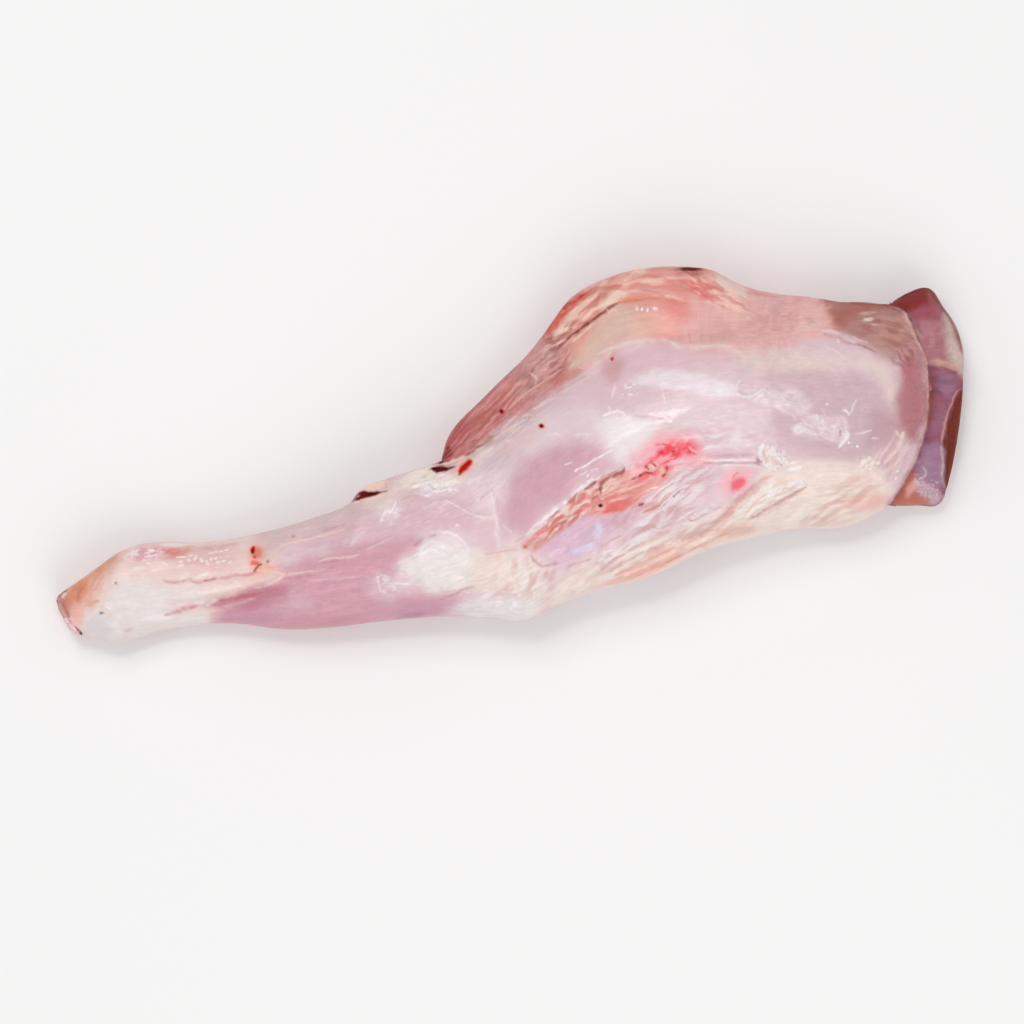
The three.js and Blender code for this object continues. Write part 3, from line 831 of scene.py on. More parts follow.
# %% Cuts and dark spots
# These are drawn last, over everything else. The cuts have the form of the areas, the spots of the patches.
CUTS = {
    "nick in the forearm": ("maroon", 1.2, 1.0, -0.5, [(349, 502), (353, 494), (362, 491), (372, 492),
        (387, 491), (366, 498), (355, 501)]),
    "nick at the elbow": ("maroon", 1.2, 1.0, -0.8, [(431, 468), (440, 466), (448, 467), (456, 466),
        (450, 470), (442, 472), (436, 473)]),
    "red pit": ("blood", 1.6, 1.0, -0.7, [(458, 474), (460, 467), (465, 462), (470, 459), (473, 461),
        (470, 466), (460, 475)]),
}
SPOTS = [
    ("near black", (81, 633.5), (1.5, 1.2), -40, 0.95, -0.4),  # knuckle
    ("blood", (253, 550), (2.4, 4), -8, 1.0, -0.5),  # blood on the shank
    ("maroon", (252.5, 551.5), (1.2, 1.8), 0, 0.8, 0),
    ("blood", (254.5, 557), (1.3, 1.6), 0, 0.7, 0),
    ("umber", (267.5, 561.5), (0.9, 1.5), 0, 0.9, 0),
    ("deep salmon", (357, 496.5), (3, 1), 15, 0.8, 0),  # in the nicks
    # Near black where the nicks are deepest, in this and the next four rows: painted shade.
    ("near black", (351, 499.5), (2, 3), 40, 0.9, 0),
    ("near black", (371, 493.5), (6, 1.2), 6, 0.5, 0),
    ("near black", (435, 468.5), (5, 1.4), 6, 0.7, 0),
    ("near black", (447, 469), (5, 1.6), 14, 0.35, 0),
    ("near black", (441, 462), (2.4, 3.4), -30, 0.9, 0),
    ("blood", (501.5, 411.5), (2.6, 2.4), 0, 0.9, -0.5),  # holes beside the breast layer
    # Near-black middle of the hole: painted shade.
    ("near black", (501.5, 411.5), (1.5, 1.4), 0, 0.9, 0),
    ("blood", (541.5, 426), (2.6, 2.2), -40, 0.9, -0.6),
    # Near-black middle of the hole: painted shade.
    ("near black", (541.5, 426), (1.6, 1.4), -40, 1.0, 0),
    ("maroon", (690, 269), (13, 2), 0, 1.0, 0),  # peak
    ("blood", (612, 359), (1.3, 2.2), -15, 0.95, -0.3),  # blade
    ("dark red", (600.5, 505.5), (2.4, 2.0), 0, 0.9, -0.6),  # crook
    # Near-black middle of the dot: painted shade.
    ("near black", (600.5, 505.5), (1.6, 1.4), 0, 1.0, 0),
]
print(len(CUTS), "cuts and", len(SPOTS), "spots")
# %% Lines of the shank and the forearm
# Each line: a tint, half its width in pixels, its strength, its height, and its marks.
LINES = [
    # Stains and rim of the cut knuckle
    ("orange", 3, 0.7, 0, [(70, 602), (74, 591), (82, 581)]),
    ("sienna", 2, 0.6, 0, [(78, 601), (79, 593), (84, 586)]),
    ("orange", 2.2, 0.6, 0, [(86, 607), (99, 600)]),
    ("orange", 2.6, 0.55, 0, [(97, 572), (104, 565)]),
    ("peach", 2, 0.5, 0, [(108, 570), (116, 562), (124, 558)]),
    ("sienna", 2.4, 0.85, 0, [(62, 602), (69, 617)]),
    ("maroon", 1.4, 0.9, 0, [(57, 600), (58, 606), (65, 619)]),
    ("dark red", 1.2, 0.6, 0, [(58, 598), (62, 593), (67, 590)]),
    ("blush", 1.0, 0.6, 0.2, [(60, 603), (65, 614)]),
    ("umber", 1.2, 0.7, 0, [(58, 596), (72, 585)]),
    ("plum", 1.0, 0.85, -0.4, [(66, 624), (71, 621)]),
    ("maroon", 1.0, 0.9, -0.4, [(75, 626), (81, 634)]),
    ("tendon", 1.8, 0.8, 0.2, [(62, 598), (66, 593)]),
    ("warm cream", 1.5, 0.7, 0.4, [(86, 615), (98, 609), (104, 609), (109, 614), (111, 620)]),
    # Painted shadow along the lower edge of the knuckle.
    ("cold grey", 2, 0.5, 0, [(84, 635), (108, 641), (120, 642)]),
    # Grooves, flakes and tendon of the shank
    ("deep rose", 1.6, 0.5, -0.3, [(163, 580), (170, 582), (178, 582), (192, 579)]),
    ("deep rose", 1.8, 0.55, -0.35, [(191, 582), (200, 582), (232, 576), (246, 575), (258, 572)]),
    ("plum", 0.9, 0.6, -0.2, [(204, 581), (216, 579)]),
    ("tendon", 2, 0.85, 0.4, [(178, 580), (190, 573)]),
    ("tendon", 2, 0.85, 0.4, [(195, 579), (209, 572)]),
    ("tendon", 3, 0.85, 0.5, [(172, 598), (240, 586)]),
    ("deep rose", 2.1, 0.6, -0.4, [(165, 615), (190, 608), (200, 603)]),
    ("tendon", 1.5, 0.6, 0.2, [(168, 609), (186, 603)]),
    ("milk", 1.6, 0.7, 0.2, [(193, 604), (198, 604), (203, 602)]),
    ("milk", 1.8, 0.5, 0.2, [(206, 606), (212, 602), (218, 600)]),
    ("raspberry", 1.6, 0.45, -0.2, [(216, 602), (256, 594)]),
    ("blade rose", 1.6, 0.5, 0.1, [(222, 607), (256, 598)]),
    ("mauve", 1.6, 0.35, 0, [(190, 547), (210, 548), (240, 543)]),
    ("maroon", 1.0, 0.8, -0.2, [(253, 571.5), (262, 563.5)]),
    # Forearm film and strands
    ("warm cream", 1.4, 0.65, 0.25, [(277, 549), (283, 545), (335, 532), (346, 528)]),
    ("film", 1.4, 0.5, 0.15, [(346, 528), (376, 523)]),
    ("mauve", 1.7, 0.35, -0.2, [(323, 531), (346, 524)]),
    ("mauve", 1.5, 0.6, 0, [(292, 536), (295, 537)]),
    ("shank film", 1.3, 0.7, 0.25, [(318, 561), (333, 557.5), (340, 558), (359, 555)]),
    # Painted shadow under the strand above.
    ("deep rose", 1.3, 0.4, -0.15, [(322, 563), (346, 559)]),
    ("warm cream", 1.4, 0.65, 0.25, [(285, 575), (325, 569)]),
    # Painted shadow under the strand above.
    ("deep rose", 1.6, 0.4, -0.2, [(284, 579), (316, 575)]),
    ("warm cream", 1.6, 0.75, 0.4, [(268, 586), (284, 573)]),
    ("shank film", 1.6, 0.7, 0.3, [(254, 588), (266, 585), (283, 576)]),
    ("pale peach", 1.2, 0.5, 0.1, [(256, 570), (270, 571), (284, 574)]),
    ("blade rose", 1.2, 0.55, 0.15, [(305, 581), (360, 577), (371, 578)]),
    ("milk", 1.0, 0.4, 0.12, [(350, 546), (360, 535), (365, 532)]),
    ("milk", 1.0, 0.35, 0.12, [(366, 550), (392, 538)]),
    ("milk", 1.2, 0.75, 0.3, [(380, 521), (384, 514), (389, 510)]),
    ("silver", 1.1, 0.85, 0.3, [(389, 513), (394, 507), (396, 500)]),
    ("milk", 1.0, 0.65, 0.25, [(395, 519), (396, 511), (398, 506)]),
    ("pale peach", 1.6, 0.6, 0.2, [(352, 503), (388, 493)]),
    ("tan", 1.0, 0.6, -0.15, [(385, 482), (386, 488)]),
    # Wisps that run into the elbow pad
    ("milk", 1.1, 0.55, 0.15, [(376, 574), (380, 590)]),
    ("silver", 1.2, 0.7, 0.15, [(386, 583), (410, 584)]),
    ("milk", 1.0, 0.55, 0.12, [(397, 564), (404, 560), (411, 558)]),
    ("milk", 1.0, 0.5, 0.12, [(399, 572), (405, 577), (415, 581)]),
    ("silver", 1.3, 0.7, 0.2, [(410, 558), (416, 555), (420, 551), (420, 546)]),
]
print(len(LINES), "lines so far")

# %% Lines of the elbow and the upper arm
LINES += [
    # Fat and nick at the top of the elbow
    ("shank film", 1.7, 0.85, 0.5, [(436, 465), (446, 463.5), (470, 455)]),
    ("ivory", 1.5, 0.6, 0.4, [(412, 473), (419, 471), (426, 473), (429, 478)]),
    ("silver", 1.2, 0.75, 0.4, [(427, 481), (428, 487), (433, 492)]),
    ("silver", 1.2, 0.7, 0.35, [(432, 484), (437, 488), (440, 492)]),
    ("silver", 1.3, 0.7, 0.3, [(424, 496), (431, 494)]),
    ("silver", 1.2, 0.6, 0.3, [(442, 491), (452, 489), (461, 492)]),
    ("cream", 2, 0.5, 0.3, [(442, 482), (452, 480), (460, 482)]),
    # Web and fold over the elbow
    ("cream", 1.4, 0.6, 0.3, [(444, 499), (473, 515)]),
    ("tendon", 2.0, 0.75, 0.4, [(471, 514), (481, 517), (495, 518)]),
    ("mauve", 1.0, 0.55, -0.15, [(480, 499), (493, 490)]),
    ("milk", 2.8, 0.5, 0.35, [(490, 490), (494, 504), (498, 532), (499, 548)]),
    # Painted shade on the right side of the fold.
    ("rose", 2.6, 0.4, -0.2, [(497, 498), (503, 528)]),
    ("milk", 1.0, 0.6, 0.15, [(438, 508), (449, 501)]),
    ("milk", 1.0, 0.5, 0.1, [(426, 508), (441, 500)]),
    ("milk", 1.0, 0.55, 0.12, [(499, 521), (505, 528), (512, 532)]),
    # Elbow pad
    ("milk", 1.5, 0.85, 0.5, [(419, 557), (422, 548), (427, 543), (433, 541), (440, 542), (456, 550)]),
    ("blade rose", 2, 0.6, -0.2, [(424, 550), (430, 547), (437, 547)]),
    ("silver", 1.3, 0.75, 0.3, [(418, 558), (424, 552), (432, 551), (447, 556)]),
    ("silver", 1.4, 0.6, 0.2, [(440, 574), (450, 573), (458, 570)]),
    ("silver", 1.3, 0.5, 0.15, [(443, 567), (455, 566), (467, 560)]),
    ("straw", 1.5, 0.4, -0.1, [(441, 591), (455, 591), (466, 588), (475, 587)]),
    ("elbow cream", 2.4, 0.5, 0, [(460, 584), (467, 573), (471, 558)]),
    ("mauve", 1.3, 0.45, -0.25, [(440, 599), (455, 594), (466, 589), (475, 587)]),
    # Creases from the elbow to the crook
    ("shank film", 1.4, 0.65, 0.3, [(482, 552), (505, 547), (520, 547)]),
    # Painted shade below the ridge.
    ("tan", 1.1, 0.45, -0.2, [(484, 554), (518, 549)]),
    ("pale salmon", 2.4, 0.5, 0, [(498, 552), (498, 560)]),
    ("mauve", 1.4, 0.55, -0.35, [(530, 555), (534, 560), (541, 566), (550, 565), (560, 562)]),
    ("warm cream", 1.4, 0.6, 0.3, [(532, 562), (540, 568), (550, 568)]),
    ("mauve", 1.3, 0.4, 0, [(430, 617), (470, 617), (500, 619)]),
    # Edge of the upper arm, its strands and wisps
    ("cream", 1.7, 0.7, 0.4, [(470, 455), (488, 441), (495, 437)]),
    # Painted shadow where the limb lies over the breast layer.
    ("umber", 1.4, 0.65, -0.4, [(464, 458), (495, 435)]),
    ("pale lilac", 1.6, 0.7, 0.35, [(502, 428), (517, 416)]),
    ("warm cream", 1.1, 0.85, 0.4, [(520, 420), (525, 416), (530, 415), (533, 418), (529, 421)]),
    # Painted shade inside the small fold.
    ("brick", 0.9, 0.6, -0.2, [(523, 418.5), (530, 417.5)]),
    ("pale lilac", 1.6, 0.5, 0.2, [(535, 408), (548, 401), (562, 398), (580, 396)]),
    ("silver", 1.2, 0.9, 0.4, [(577, 470), (615, 448)]),
    ("silver", 1.0, 0.6, 0.2, [(565, 465), (569, 463), (573, 463)]),
    ("silver", 1.0, 0.6, 0.2, [(579, 475), (583, 474), (587, 471)]),
    ("milk", 1.4, 0.45, 0.1, [(545, 435), (556, 434), (562, 436)]),
    ("milk", 1.2, 0.5, 0.1, [(574, 435), (589, 434)]),
    ("pale lilac", 1.6, 0.5, 0.1, [(560, 414), (598, 411)]),
]
print(len(LINES), "lines so far")

# %% Lines of the blade and its cap
LINES += [
    # Ticks and curls of torn film
    ("milk", 1.1, 0.75, 0.2, [(615.5, 382), (612, 397)]),
    ("silver", 0.9, 0.65, 0.15, [(608.5, 405), (609.5, 413)]),
    ("milk", 1.1, 0.8, 0.2, [(662, 388), (664.5, 401)]),
    ("silver", 1.4, 0.85, 0.3, [(602, 416), (608, 413), (616, 411), (622, 412), (625, 415)]),
    ("milk", 1.6, 0.5, 0.1, [(600, 420), (630, 417), (640, 419)]),
    # Painted shadow along the edge of the milky film.
    ("lavender", 1.5, 0.45, -0.1, [(632, 416), (660, 417), (672, 421)]),
    ("milk", 1.1, 0.8, 0.3, [(736, 391), (737, 384), (741, 378)]),
    ("milk", 1.4, 0.8, 0.3, [(737, 391), (742, 396), (750, 397), (763, 390)]),
    ("blade rose", 1.4, 0.5, -0.2, [(741, 390), (748, 393), (755, 390)]),
    ("silver", 1.3, 0.7, 0.2, [(753, 401), (765, 392)]),
    ("silver", 1.2, 0.6, 0.2, [(757, 395), (769, 400)]),
    ("milk", 1.0, 0.5, 0.2, [(788, 409), (792, 400), (798, 396), (804, 395)]),
    ("plum", 1.0, 0.6, -0.25, [(840, 437), (840.5, 431)]),
    ("silver", 1.2, 0.9, 0.35, [(842, 411), (846, 411), (850, 415)]),
    ("milk", 1.0, 0.65, 0.2, [(850, 414), (857, 399)]),
    ("silver", 1.4, 0.9, 0.35, [(838, 449), (848, 436), (846, 430)]),
    ("milk", 1.1, 0.75, 0.2, [(853, 434), (862, 433), (871, 430)]),
    ("milk", 0.9, 0.65, 0.15, [(871, 438), (880, 439)]),
    ("lavender", 0.9, 0.45, -0.15, [(812, 441), (822, 443), (832, 448)]),
    ("silver", 0.9, 0.6, 0.15, [(817, 414), (818, 423)]),
    # Strand and strip at the lower edge of the blade, with painted shade in mauve above and below the strand
    ("silver", 2.6, 0.55, 0.3, [(703, 449), (720, 446), (735, 446), (756, 444)]),
    ("mauve", 2.2, 0.35, -0.2, [(704, 456), (757, 455)]),
    ("silver", 1.1, 0.9, 0.4, [(704, 461), (730, 460), (757, 460.5)]),
    ("mauve", 1.3, 0.5, -0.2, [(704, 464), (758, 463)]),
    ("milk", 1.5, 0.6, 0.2, [(720, 466), (740, 465), (762, 467)]),
    # Seam above the blade, and flecks on its cap
    ("cap cream", 2.8, 0.75, 0.2, [(598, 354), (620, 345), (640, 341), (660, 340), (672, 343), (682, 347),
        (720, 346), (735, 349), (744, 353)]),
    ("tendon", 1.1, 0.75, 0.2, [(669, 341), (674, 344), (679, 350)]),
    ("pale lilac", 1.8, 0.8, 0.35, [(822, 330), (835, 332), (868, 343)]),
    # Painted shadow under the pale streak.
    ("mauve", 2.0, 0.5, -0.3, [(824, 334), (858, 346)]),
    ("umber", 1.2, 0.6, -0.3, [(856, 343), (876, 352)]),
    ("milk", 1.1, 0.6, 0.2, [(837, 338), (839, 343)]),
    ("ivory", 1.1, 0.5, 0.15, [(826, 346), (835, 351), (846, 359)]),
    ("warm cream", 1.6, 0.45, 0.1, [(790, 366), (800, 363), (812, 362)]),
    ("tan", 1.2, 0.5, 0.1, [(882, 325), (904, 330)]),
    ("tan", 1.2, 0.45, 0.1, [(884, 337), (898, 340), (913, 345)]),
    ("umber", 1.8, 0.85, 0, [(820, 298), (860, 304), (886, 305)]),
    ("blush", 1.2, 0.6, 0.2, [(788, 337), (790, 341)]),
    # End of the blade
    ("beige", 1.1, 0.65, 0.2, [(889, 306), (903, 312), (909, 322), (913, 333), (925, 358), (927, 375),
        (928, 400), (927, 420), (914, 462), (892, 500)]),
    ("maroon", 1.3, 0.6, -0.5, [(905, 309), (911, 320), (916, 334), (922, 346)]),
    ("dusty rose", 0.9, 0.6, 0.15, [(898, 349), (905, 356)]),
    ("dusty rose", 0.9, 0.6, 0.15, [(901, 357), (909, 364)]),
    ("ivory", 1.4, 0.6, 0.25, [(896, 430), (900, 436), (904, 431)]),
    ("ivory", 2.2, 0.55, 0.3, [(904, 432), (900, 445), (893, 455), (884, 464)]),
    ("ivory", 2.0, 0.5, 0.25, [(880, 478), (901, 458)]),
    ("tan", 1.2, 0.4, -0.2, [(882, 470), (892, 461), (900, 450)]),
]
print(len(LINES), "lines so far")

# %% Lines of the breast side
LINES += [
    # Breast layer
    ("film", 8, 0.45, 0, [(500, 434), (540, 402), (562, 388)]),
    ("plum", 1.3, 0.5, 0, [(446, 442), (449, 430), (500, 384), (520, 362)]),
    ("dark red", 2.4, 0.9, 0, [(441, 463), (444, 455), (449, 447)]),
    ("pale salmon", 1.6, 0.5, 0.15, [(504, 401), (520, 383)]),
    ("pale salmon", 1.6, 0.4, 0.15, [(496, 400), (504, 390), (511, 384)]),
    ("deep salmon", 1.8, 0.5, -0.15, [(502, 387), (510, 380), (518, 375)]),
    ("sienna", 1.6, 0.5, -0.2, [(470, 432), (488, 414)]),
    ("dusty brick", 1.4, 0.4, 0.15, [(463, 446), (483, 423)]),
    ("beige", 1.2, 0.9, 0.45, [(506, 411), (527, 393), (563, 368)]),
    # Painted shadow below the strand.
    ("brick", 1.1, 0.5, -0.25, [(509, 413), (544, 386)]),
    ("dusty rose", 1.2, 0.5, 0.2, [(500, 420), (520, 405)]),
    ("beige", 0.9, 0.6, 0.2, [(526, 367), (541, 360)]),
    ("warm cream", 1.0, 0.6, 0.25, [(530, 373), (535, 376), (537, 380)]),
    ("blush", 1.4, 0.6, 0.4, [(576, 366), (582, 368.5), (587, 368), (593, 363)]),
    ("warm cream", 2, 0.5, 0.15, [(590, 368), (612, 352)]),
    # Lip over the breast layer
    ("dark red", 1.2, 0.8, 0, [(543, 337), (551, 322), (560, 310), (567, 303)]),
    ("blood", 2.6, 1.0, 0, [(564, 309), (574, 301), (584, 295.5)]),
    ("umber", 1.5, 0.95, -0.8, [(556, 350), (572, 335), (588, 323), (612, 306), (620, 302)]),
    ("maroon", 0.8, 0.5, -0.2, [(565, 342), (572, 335), (604, 312)]),
    ("orange", 1.7, 0.6, -0.5, [(620, 302), (650, 297.5), (676, 300), (687, 303)]),
    ("umber", 1.0, 0.6, -0.4, [(543, 339), (555, 337), (565, 333), (572, 328)]),
    ("mauve", 1.1, 0.5, -0.3, [(547, 344), (566, 336), (576, 329)]),
    ("mauve", 1.6, 0.5, -0.3, [(551, 353), (566, 346), (571, 341)]),
    ("warm cream", 1.1, 0.6, 0.3, [(548, 348), (566, 340)]),
    ("warm cream", 1.3, 0.65, 0.35, [(572, 342), (596, 322)]),
    ("sienna", 1.0, 0.4, 0, [(578, 340), (597, 324)]),
    ("pale peach", 1.3, 0.55, 0.3, [(570, 314), (580, 304), (594, 298)]),
    ("sienna", 1.1, 0.5, -0.25, [(575, 322), (585, 308), (606, 292)]),
    ("pale peach", 1.1, 0.5, 0.2, [(606, 308), (610, 312), (614, 309), (618, 313)]),
    ("deep salmon", 1.1, 0.5, -0.25, [(624, 284), (636, 278), (652, 276), (668, 279)]),
    ("pale peach", 1.2, 0.5, 0.2, [(628, 278), (634, 272), (640, 271)]),
    ("pale peach", 1.4, 0.5, 0.2, [(640, 283), (652, 280), (664, 283)]),
    ("warm cream", 1.6, 0.6, 0.2, [(664, 296), (674, 297), (684, 301)]),
    ("russet", 1.0, 0.5, 0, [(645, 271), (660, 269), (676, 270)]),
    # Peak
    ("coral", 3.0, 0.6, -0.2, [(688, 281), (708, 299)]),
    ("dusty rose", 1.0, 0.5, -0.25, [(712, 292), (722, 296), (744, 300)]),
    ("pale peach", 1.5, 0.6, 0.3, [(712, 290), (738, 297)]),
    ("pale peach", 1.4, 0.5, 0.2, [(716, 302), (742, 310)]),
    ("deep salmon", 1.0, 0.35, -0.1, [(688, 318), (690, 342)]),
    ("pale salmon", 1.0, 0.4, 0.1, [(697, 320), (698, 332), (697, 345)]),
    ("mauve", 1.0, 0.45, 0, [(744, 292), (776, 297)]),
]
print(len(LINES), "lines so far")

# %% Lines of the crook, the blood and the lower fat
LINES += [
    # Silver edge of the upper arm, and the dark folds under it
    ("silver", 2.7, 0.95, 0.5, [(526, 535), (540, 524), (550, 514), (570, 499), (578, 491), (599, 478)]),
    ("shank film", 1.3, 0.8, 0.4, [(598, 480), (604, 475), (624, 465)]),
    ("sienna", 1.1, 0.7, -0.4, [(548, 522), (554, 515), (560, 510)]),
    ("sienna", 1.0, 0.7, -0.3, [(541, 530), (555, 517)]),
    ("tendon", 1.0, 0.8, 0.3, [(549, 526), (558, 513)]),
    ("sienna", 1.7, 0.8, -0.4, [(569, 503), (574, 498), (577, 493)]),
    ("umber", 1.8, 0.9, -0.4, [(584, 490), (592, 485), (597, 480)]),
    ("tendon", 1.0, 0.8, 0.3, [(576, 502), (577, 496), (581, 491)]),
    ("sienna", 1.1, 0.6, -0.3, [(544, 540), (554, 527)]),
    ("tendon", 1.0, 0.7, 0.3, [(548, 539), (558, 528)]),
    ("sienna", 1.0, 0.55, -0.3, [(560, 527), (566, 520), (573, 514)]),
    ("tendon", 1.0, 0.6, 0.3, [(564, 528), (570, 520), (577, 515)]),
    ("tendon", 0.9, 0.5, 0.2, [(577, 521), (585, 513), (592, 508)]),
    ("umber", 2.0, 0.9, -0.5, [(601, 493), (601, 486), (606, 479), (622, 472), (624, 468)]),
    ("tendon", 1.1, 0.6, 0.3, [(604, 494), (604, 487), (609, 481), (618, 479)]),
    ("deep salmon", 1.3, 0.6, -0.25, [(604, 500), (628, 492), (642, 486)]),
    ("warm cream", 1.1, 0.5, 0.2, [(608, 502), (634, 495)]),
    ("sienna", 1.4, 0.8, -0.3, [(591, 502), (594, 498), (597, 497.5), (600, 501)]),
    ("dark red", 1.2, 0.9, -0.2, [(639, 506), (644, 503)]),
    ("coral", 1.6, 0.5, 0, [(600, 512), (626, 509)]),
    ("sienna", 1.0, 0.6, -0.2, [(641, 513), (660, 505)]),
    # Pleats beside the crook
    ("mauve", 1.0, 0.55, -0.25, [(653, 498), (664, 489), (673, 484)]),
    ("dark red", 1.1, 0.7, -0.2, [(673, 497), (679, 490)]),
    ("silver", 1.1, 0.7, 0.25, [(647, 500), (672, 482), (682, 478)]),
    ("silver", 1.1, 0.65, 0.25, [(659, 508), (680, 489), (691, 484)]),
    ("silver", 1.0, 0.6, 0.2, [(672, 506), (677, 497), (685, 490)]),
    ("mauve", 1.0, 0.55, -0.2, [(688, 519), (693, 521), (707, 513)]),
    ("milk", 1.1, 0.6, 0.2, [(696, 516), (703, 512), (709, 506)]),
    ("silver", 1.2, 0.5, 0.2, [(676, 522), (684, 516), (692, 512)]),
    # Blood
    ("blood", 2.0, 1.0, -0.2, [(659, 455), (662, 452)]),
    ("blood", 1.4, 0.9, -0.15, [(672, 453), (675, 450)]),
    ("blood", 1.2, 1.0, -0.2, [(651, 462), (657, 467)]),
    ("blood", 1.3, 1.0, -0.15, [(666.5, 467), (667.5, 472)]),
    ("blood", 1.2, 0.9, -0.15, [(645, 466), (649, 470)]),
    ("blood", 1.4, 0.9, -0.2, [(639, 477), (646, 473), (654, 473)]),
    ("dark red", 1.2, 0.8, -0.2, [(630, 480), (642, 474)]),
    ("blood", 1.2, 0.9, -0.15, [(666, 474), (662, 477)]),
    ("blood", 1.2, 0.8, -0.15, [(688, 451), (690, 453)]),
    ("blood", 1.2, 0.8, -0.15, [(693, 453.5), (695.5, 453)]),
    ("fresh blood", 1.2, 0.8, -0.2, [(655, 445), (662, 444), (668, 446)]),
    ("fresh blood", 1.2, 0.7, -0.2, [(672, 448), (676, 451), (684, 450), (690, 446)]),
    ("fresh blood", 1.1, 0.6, -0.15, [(664, 462), (682, 456)]),
    # Blush film on a strand, with its highlight painted in.
    ("blush", 1.3, 0.8, 0.3, [(688, 446), (703, 458)]),
    ("blush", 1.2, 0.6, 0.2, [(676, 470), (684, 466), (694, 463)]),
    ("fresh blood", 1.2, 0.8, -0.2, [(732, 479), (735, 475), (739, 473)]),
    ("blush", 1.2, 0.6, 0.2, [(742, 476), (750, 471), (757, 470)]),
    # Lower fat
    ("dusty rose", 1.4, 0.65, -0.45, [(600, 573), (606, 566), (614, 560), (646, 541)]),
    ("milk", 1.4, 0.6, 0.35, [(604, 566), (612, 557), (636, 543)]),
    ("dusty rose", 1.2, 0.55, -0.35, [(608, 573), (636, 556), (648, 551)]),
    ("pale peach", 1.7, 0.75, 0.5, [(612, 579), (645, 567), (674, 552), (706, 539)]),
    ("salmon", 1.5, 0.65, -0.4, [(614, 575), (630, 569), (674, 548)]),
    ("salmon", 1.4, 0.6, -0.3, [(622, 581), (656, 567), (690, 551)]),
    ("pale peach", 1.6, 0.6, 0.35, [(676, 546), (716, 530)]),
    ("mauve", 1.5, 0.55, -0.6, [(683, 540), (708, 529), (734, 511)]),
    ("salmon", 1.4, 0.5, -0.3, [(688, 551), (728, 533)]),
    ("pale peach", 1.6, 0.6, 0.3, [(700, 548), (714, 541), (728, 536)]),
    ("dusty rose", 1.2, 0.5, -0.3, [(640, 531), (652, 527), (660, 529), (669, 524)]),
    ("ivory", 1.2, 0.55, 0.3, [(655, 531), (663, 530), (671, 526)]),
    ("ivory", 2, 0.55, 0.3, [(640, 552), (650, 545), (662, 540)]),
    ("mauve", 1.0, 0.4, -0.2, [(600, 548), (610, 541), (623, 535)]),
    ("dusty rose", 1.2, 0.45, -0.2, [(566, 568), (578, 563), (592, 559)]),
    ("pale salmon", 1.6, 0.6, 0.1, [(716, 524), (752, 492)]),
    # Painted shade: above the fat ridge in this line, and in the groove under it in the next two.
    ("tan", 1.4, 0.55, -0.4, [(720, 520), (732, 507), (760, 482), (772, 477)]),
    ("umber", 1.5, 0.4, -0.8, [(752, 518), (806, 487)]),
    ("tan", 2.2, 0.5, 0, [(750, 519), (800, 491)]),
    # Painted glint on the fat ridge.
    ("silver", 1.3, 0.7, 0.3, [(766, 500), (770, 493), (778, 488), (790, 485)]),
    ("silver", 1.4, 0.8, 0.4, [(765, 443), (761, 447), (760, 454), (762, 460)]),
    ("silver", 1.2, 0.7, 0.3, [(768, 448), (773, 454), (788, 464), (796, 461)]),
    ("silver", 1.2, 0.7, 0.2, [(760, 463), (770, 469)]),
    ("silver", 1.3, 0.7, 0.2, [(788, 470), (796, 471), (802, 467)]),
    # Painted glint on the fat ridge.
    ("silver", 1.5, 0.8, 0.3, [(788, 486), (796, 482), (805, 482)]),
    ("milk", 1.4, 0.6, 0.3, [(734, 511), (752, 496)]),
    ("milk", 1.4, 0.6, 0.3, [(742, 509), (762, 494)]),
    ("ivory", 2, 0.65, 0.4, [(790, 503), (800, 498), (838, 491)]),
    ("tan", 1.3, 0.5, -0.45, [(814, 518), (835, 502), (843, 498)]),
    ("tan", 1.2, 0.4, -0.3, [(822, 521), (846, 505)]),
    ("ivory", 1.6, 0.45, 0.3, [(826, 522), (850, 509)]),
    ("peach", 1.3, 0.5, 0.2, [(840, 502), (848, 500), (849, 505), (842, 507)]),
    ("ivory", 1.4, 0.5, 0.2, [(818, 476), (850, 473)]),
    ("ivory", 1.3, 0.5, 0.2, [(784, 479), (796, 478), (812, 479)]),
]
print(len(LINES), "lines so far")

# %% Lines of the folded end
LINES += [
    ("near black", 1.0, 0.8, 0, [(884, 305), (914, 291), (926, 289)]),
    ("maroon", 1.2, 0.5, 0, [(930, 291), (945, 312)]),
    ("umber", 1.6, 0.8, 0, [(946, 312), (951, 320), (957, 335), (962, 352)]),
    # Painted shadow under the edge of the upper lobe.
    ("plum", 1.5, 0.7, -0.5, [(928, 369), (942, 368), (955, 373)]),
    ("russet", 3.6, 0.8, -0.3, [(931, 372), (932, 390), (931, 410), (928, 426)]),
    ("dusty rose", 1.4, 0.8, 0.5, [(961, 387), (955, 394), (948, 412), (945, 422), (941, 444)]),
    ("frost", 1.4, 0.6, 0.4, [(941, 445), (943, 460), (942, 475), (944, 486)]),
    ("umber", 1.8, 0.75, 0, [(964, 396), (955, 462), (949, 484)]),
    ("frost", 1.1, 0.6, 0.25, [(921, 467), (925, 470), (926, 474), (922, 478), (918, 479)]),
    ("raspberry", 1.4, 0.5, 0.1, [(936, 410), (940, 400), (945, 392)]),
    ("terracotta", 1.6, 0.6, 0, [(900, 502), (912, 504), (926, 504)]),
]
print(len(LINES), "lines so far")

# %% Swirls on the elbow pad
LINES += [
    ("silver", 1.8, 0.7, 0.3, [(437, 531), (454, 534), (464, 543), (468, 555), (464, 566)]),
    ("cold grey", 1.6, 0.6, -0.25, [(436, 559), (446, 558), (455, 554), (466, 547)]),
    ("cold grey", 1.5, 0.5, -0.25, [(438, 567), (455, 564), (466, 559)]),
    ("silver", 1.4, 0.7, 0.3, [(424, 553), (430, 547), (440, 546), (450, 551)]),
    ("cold grey", 1.4, 0.5, -0.2, [(428, 554), (438, 550), (447, 553)]),
    ("mauve", 1.6, 0.45, -0.2, [(413, 546), (424, 538), (436, 535)]),
]
print(len(LINES), "lines so far")

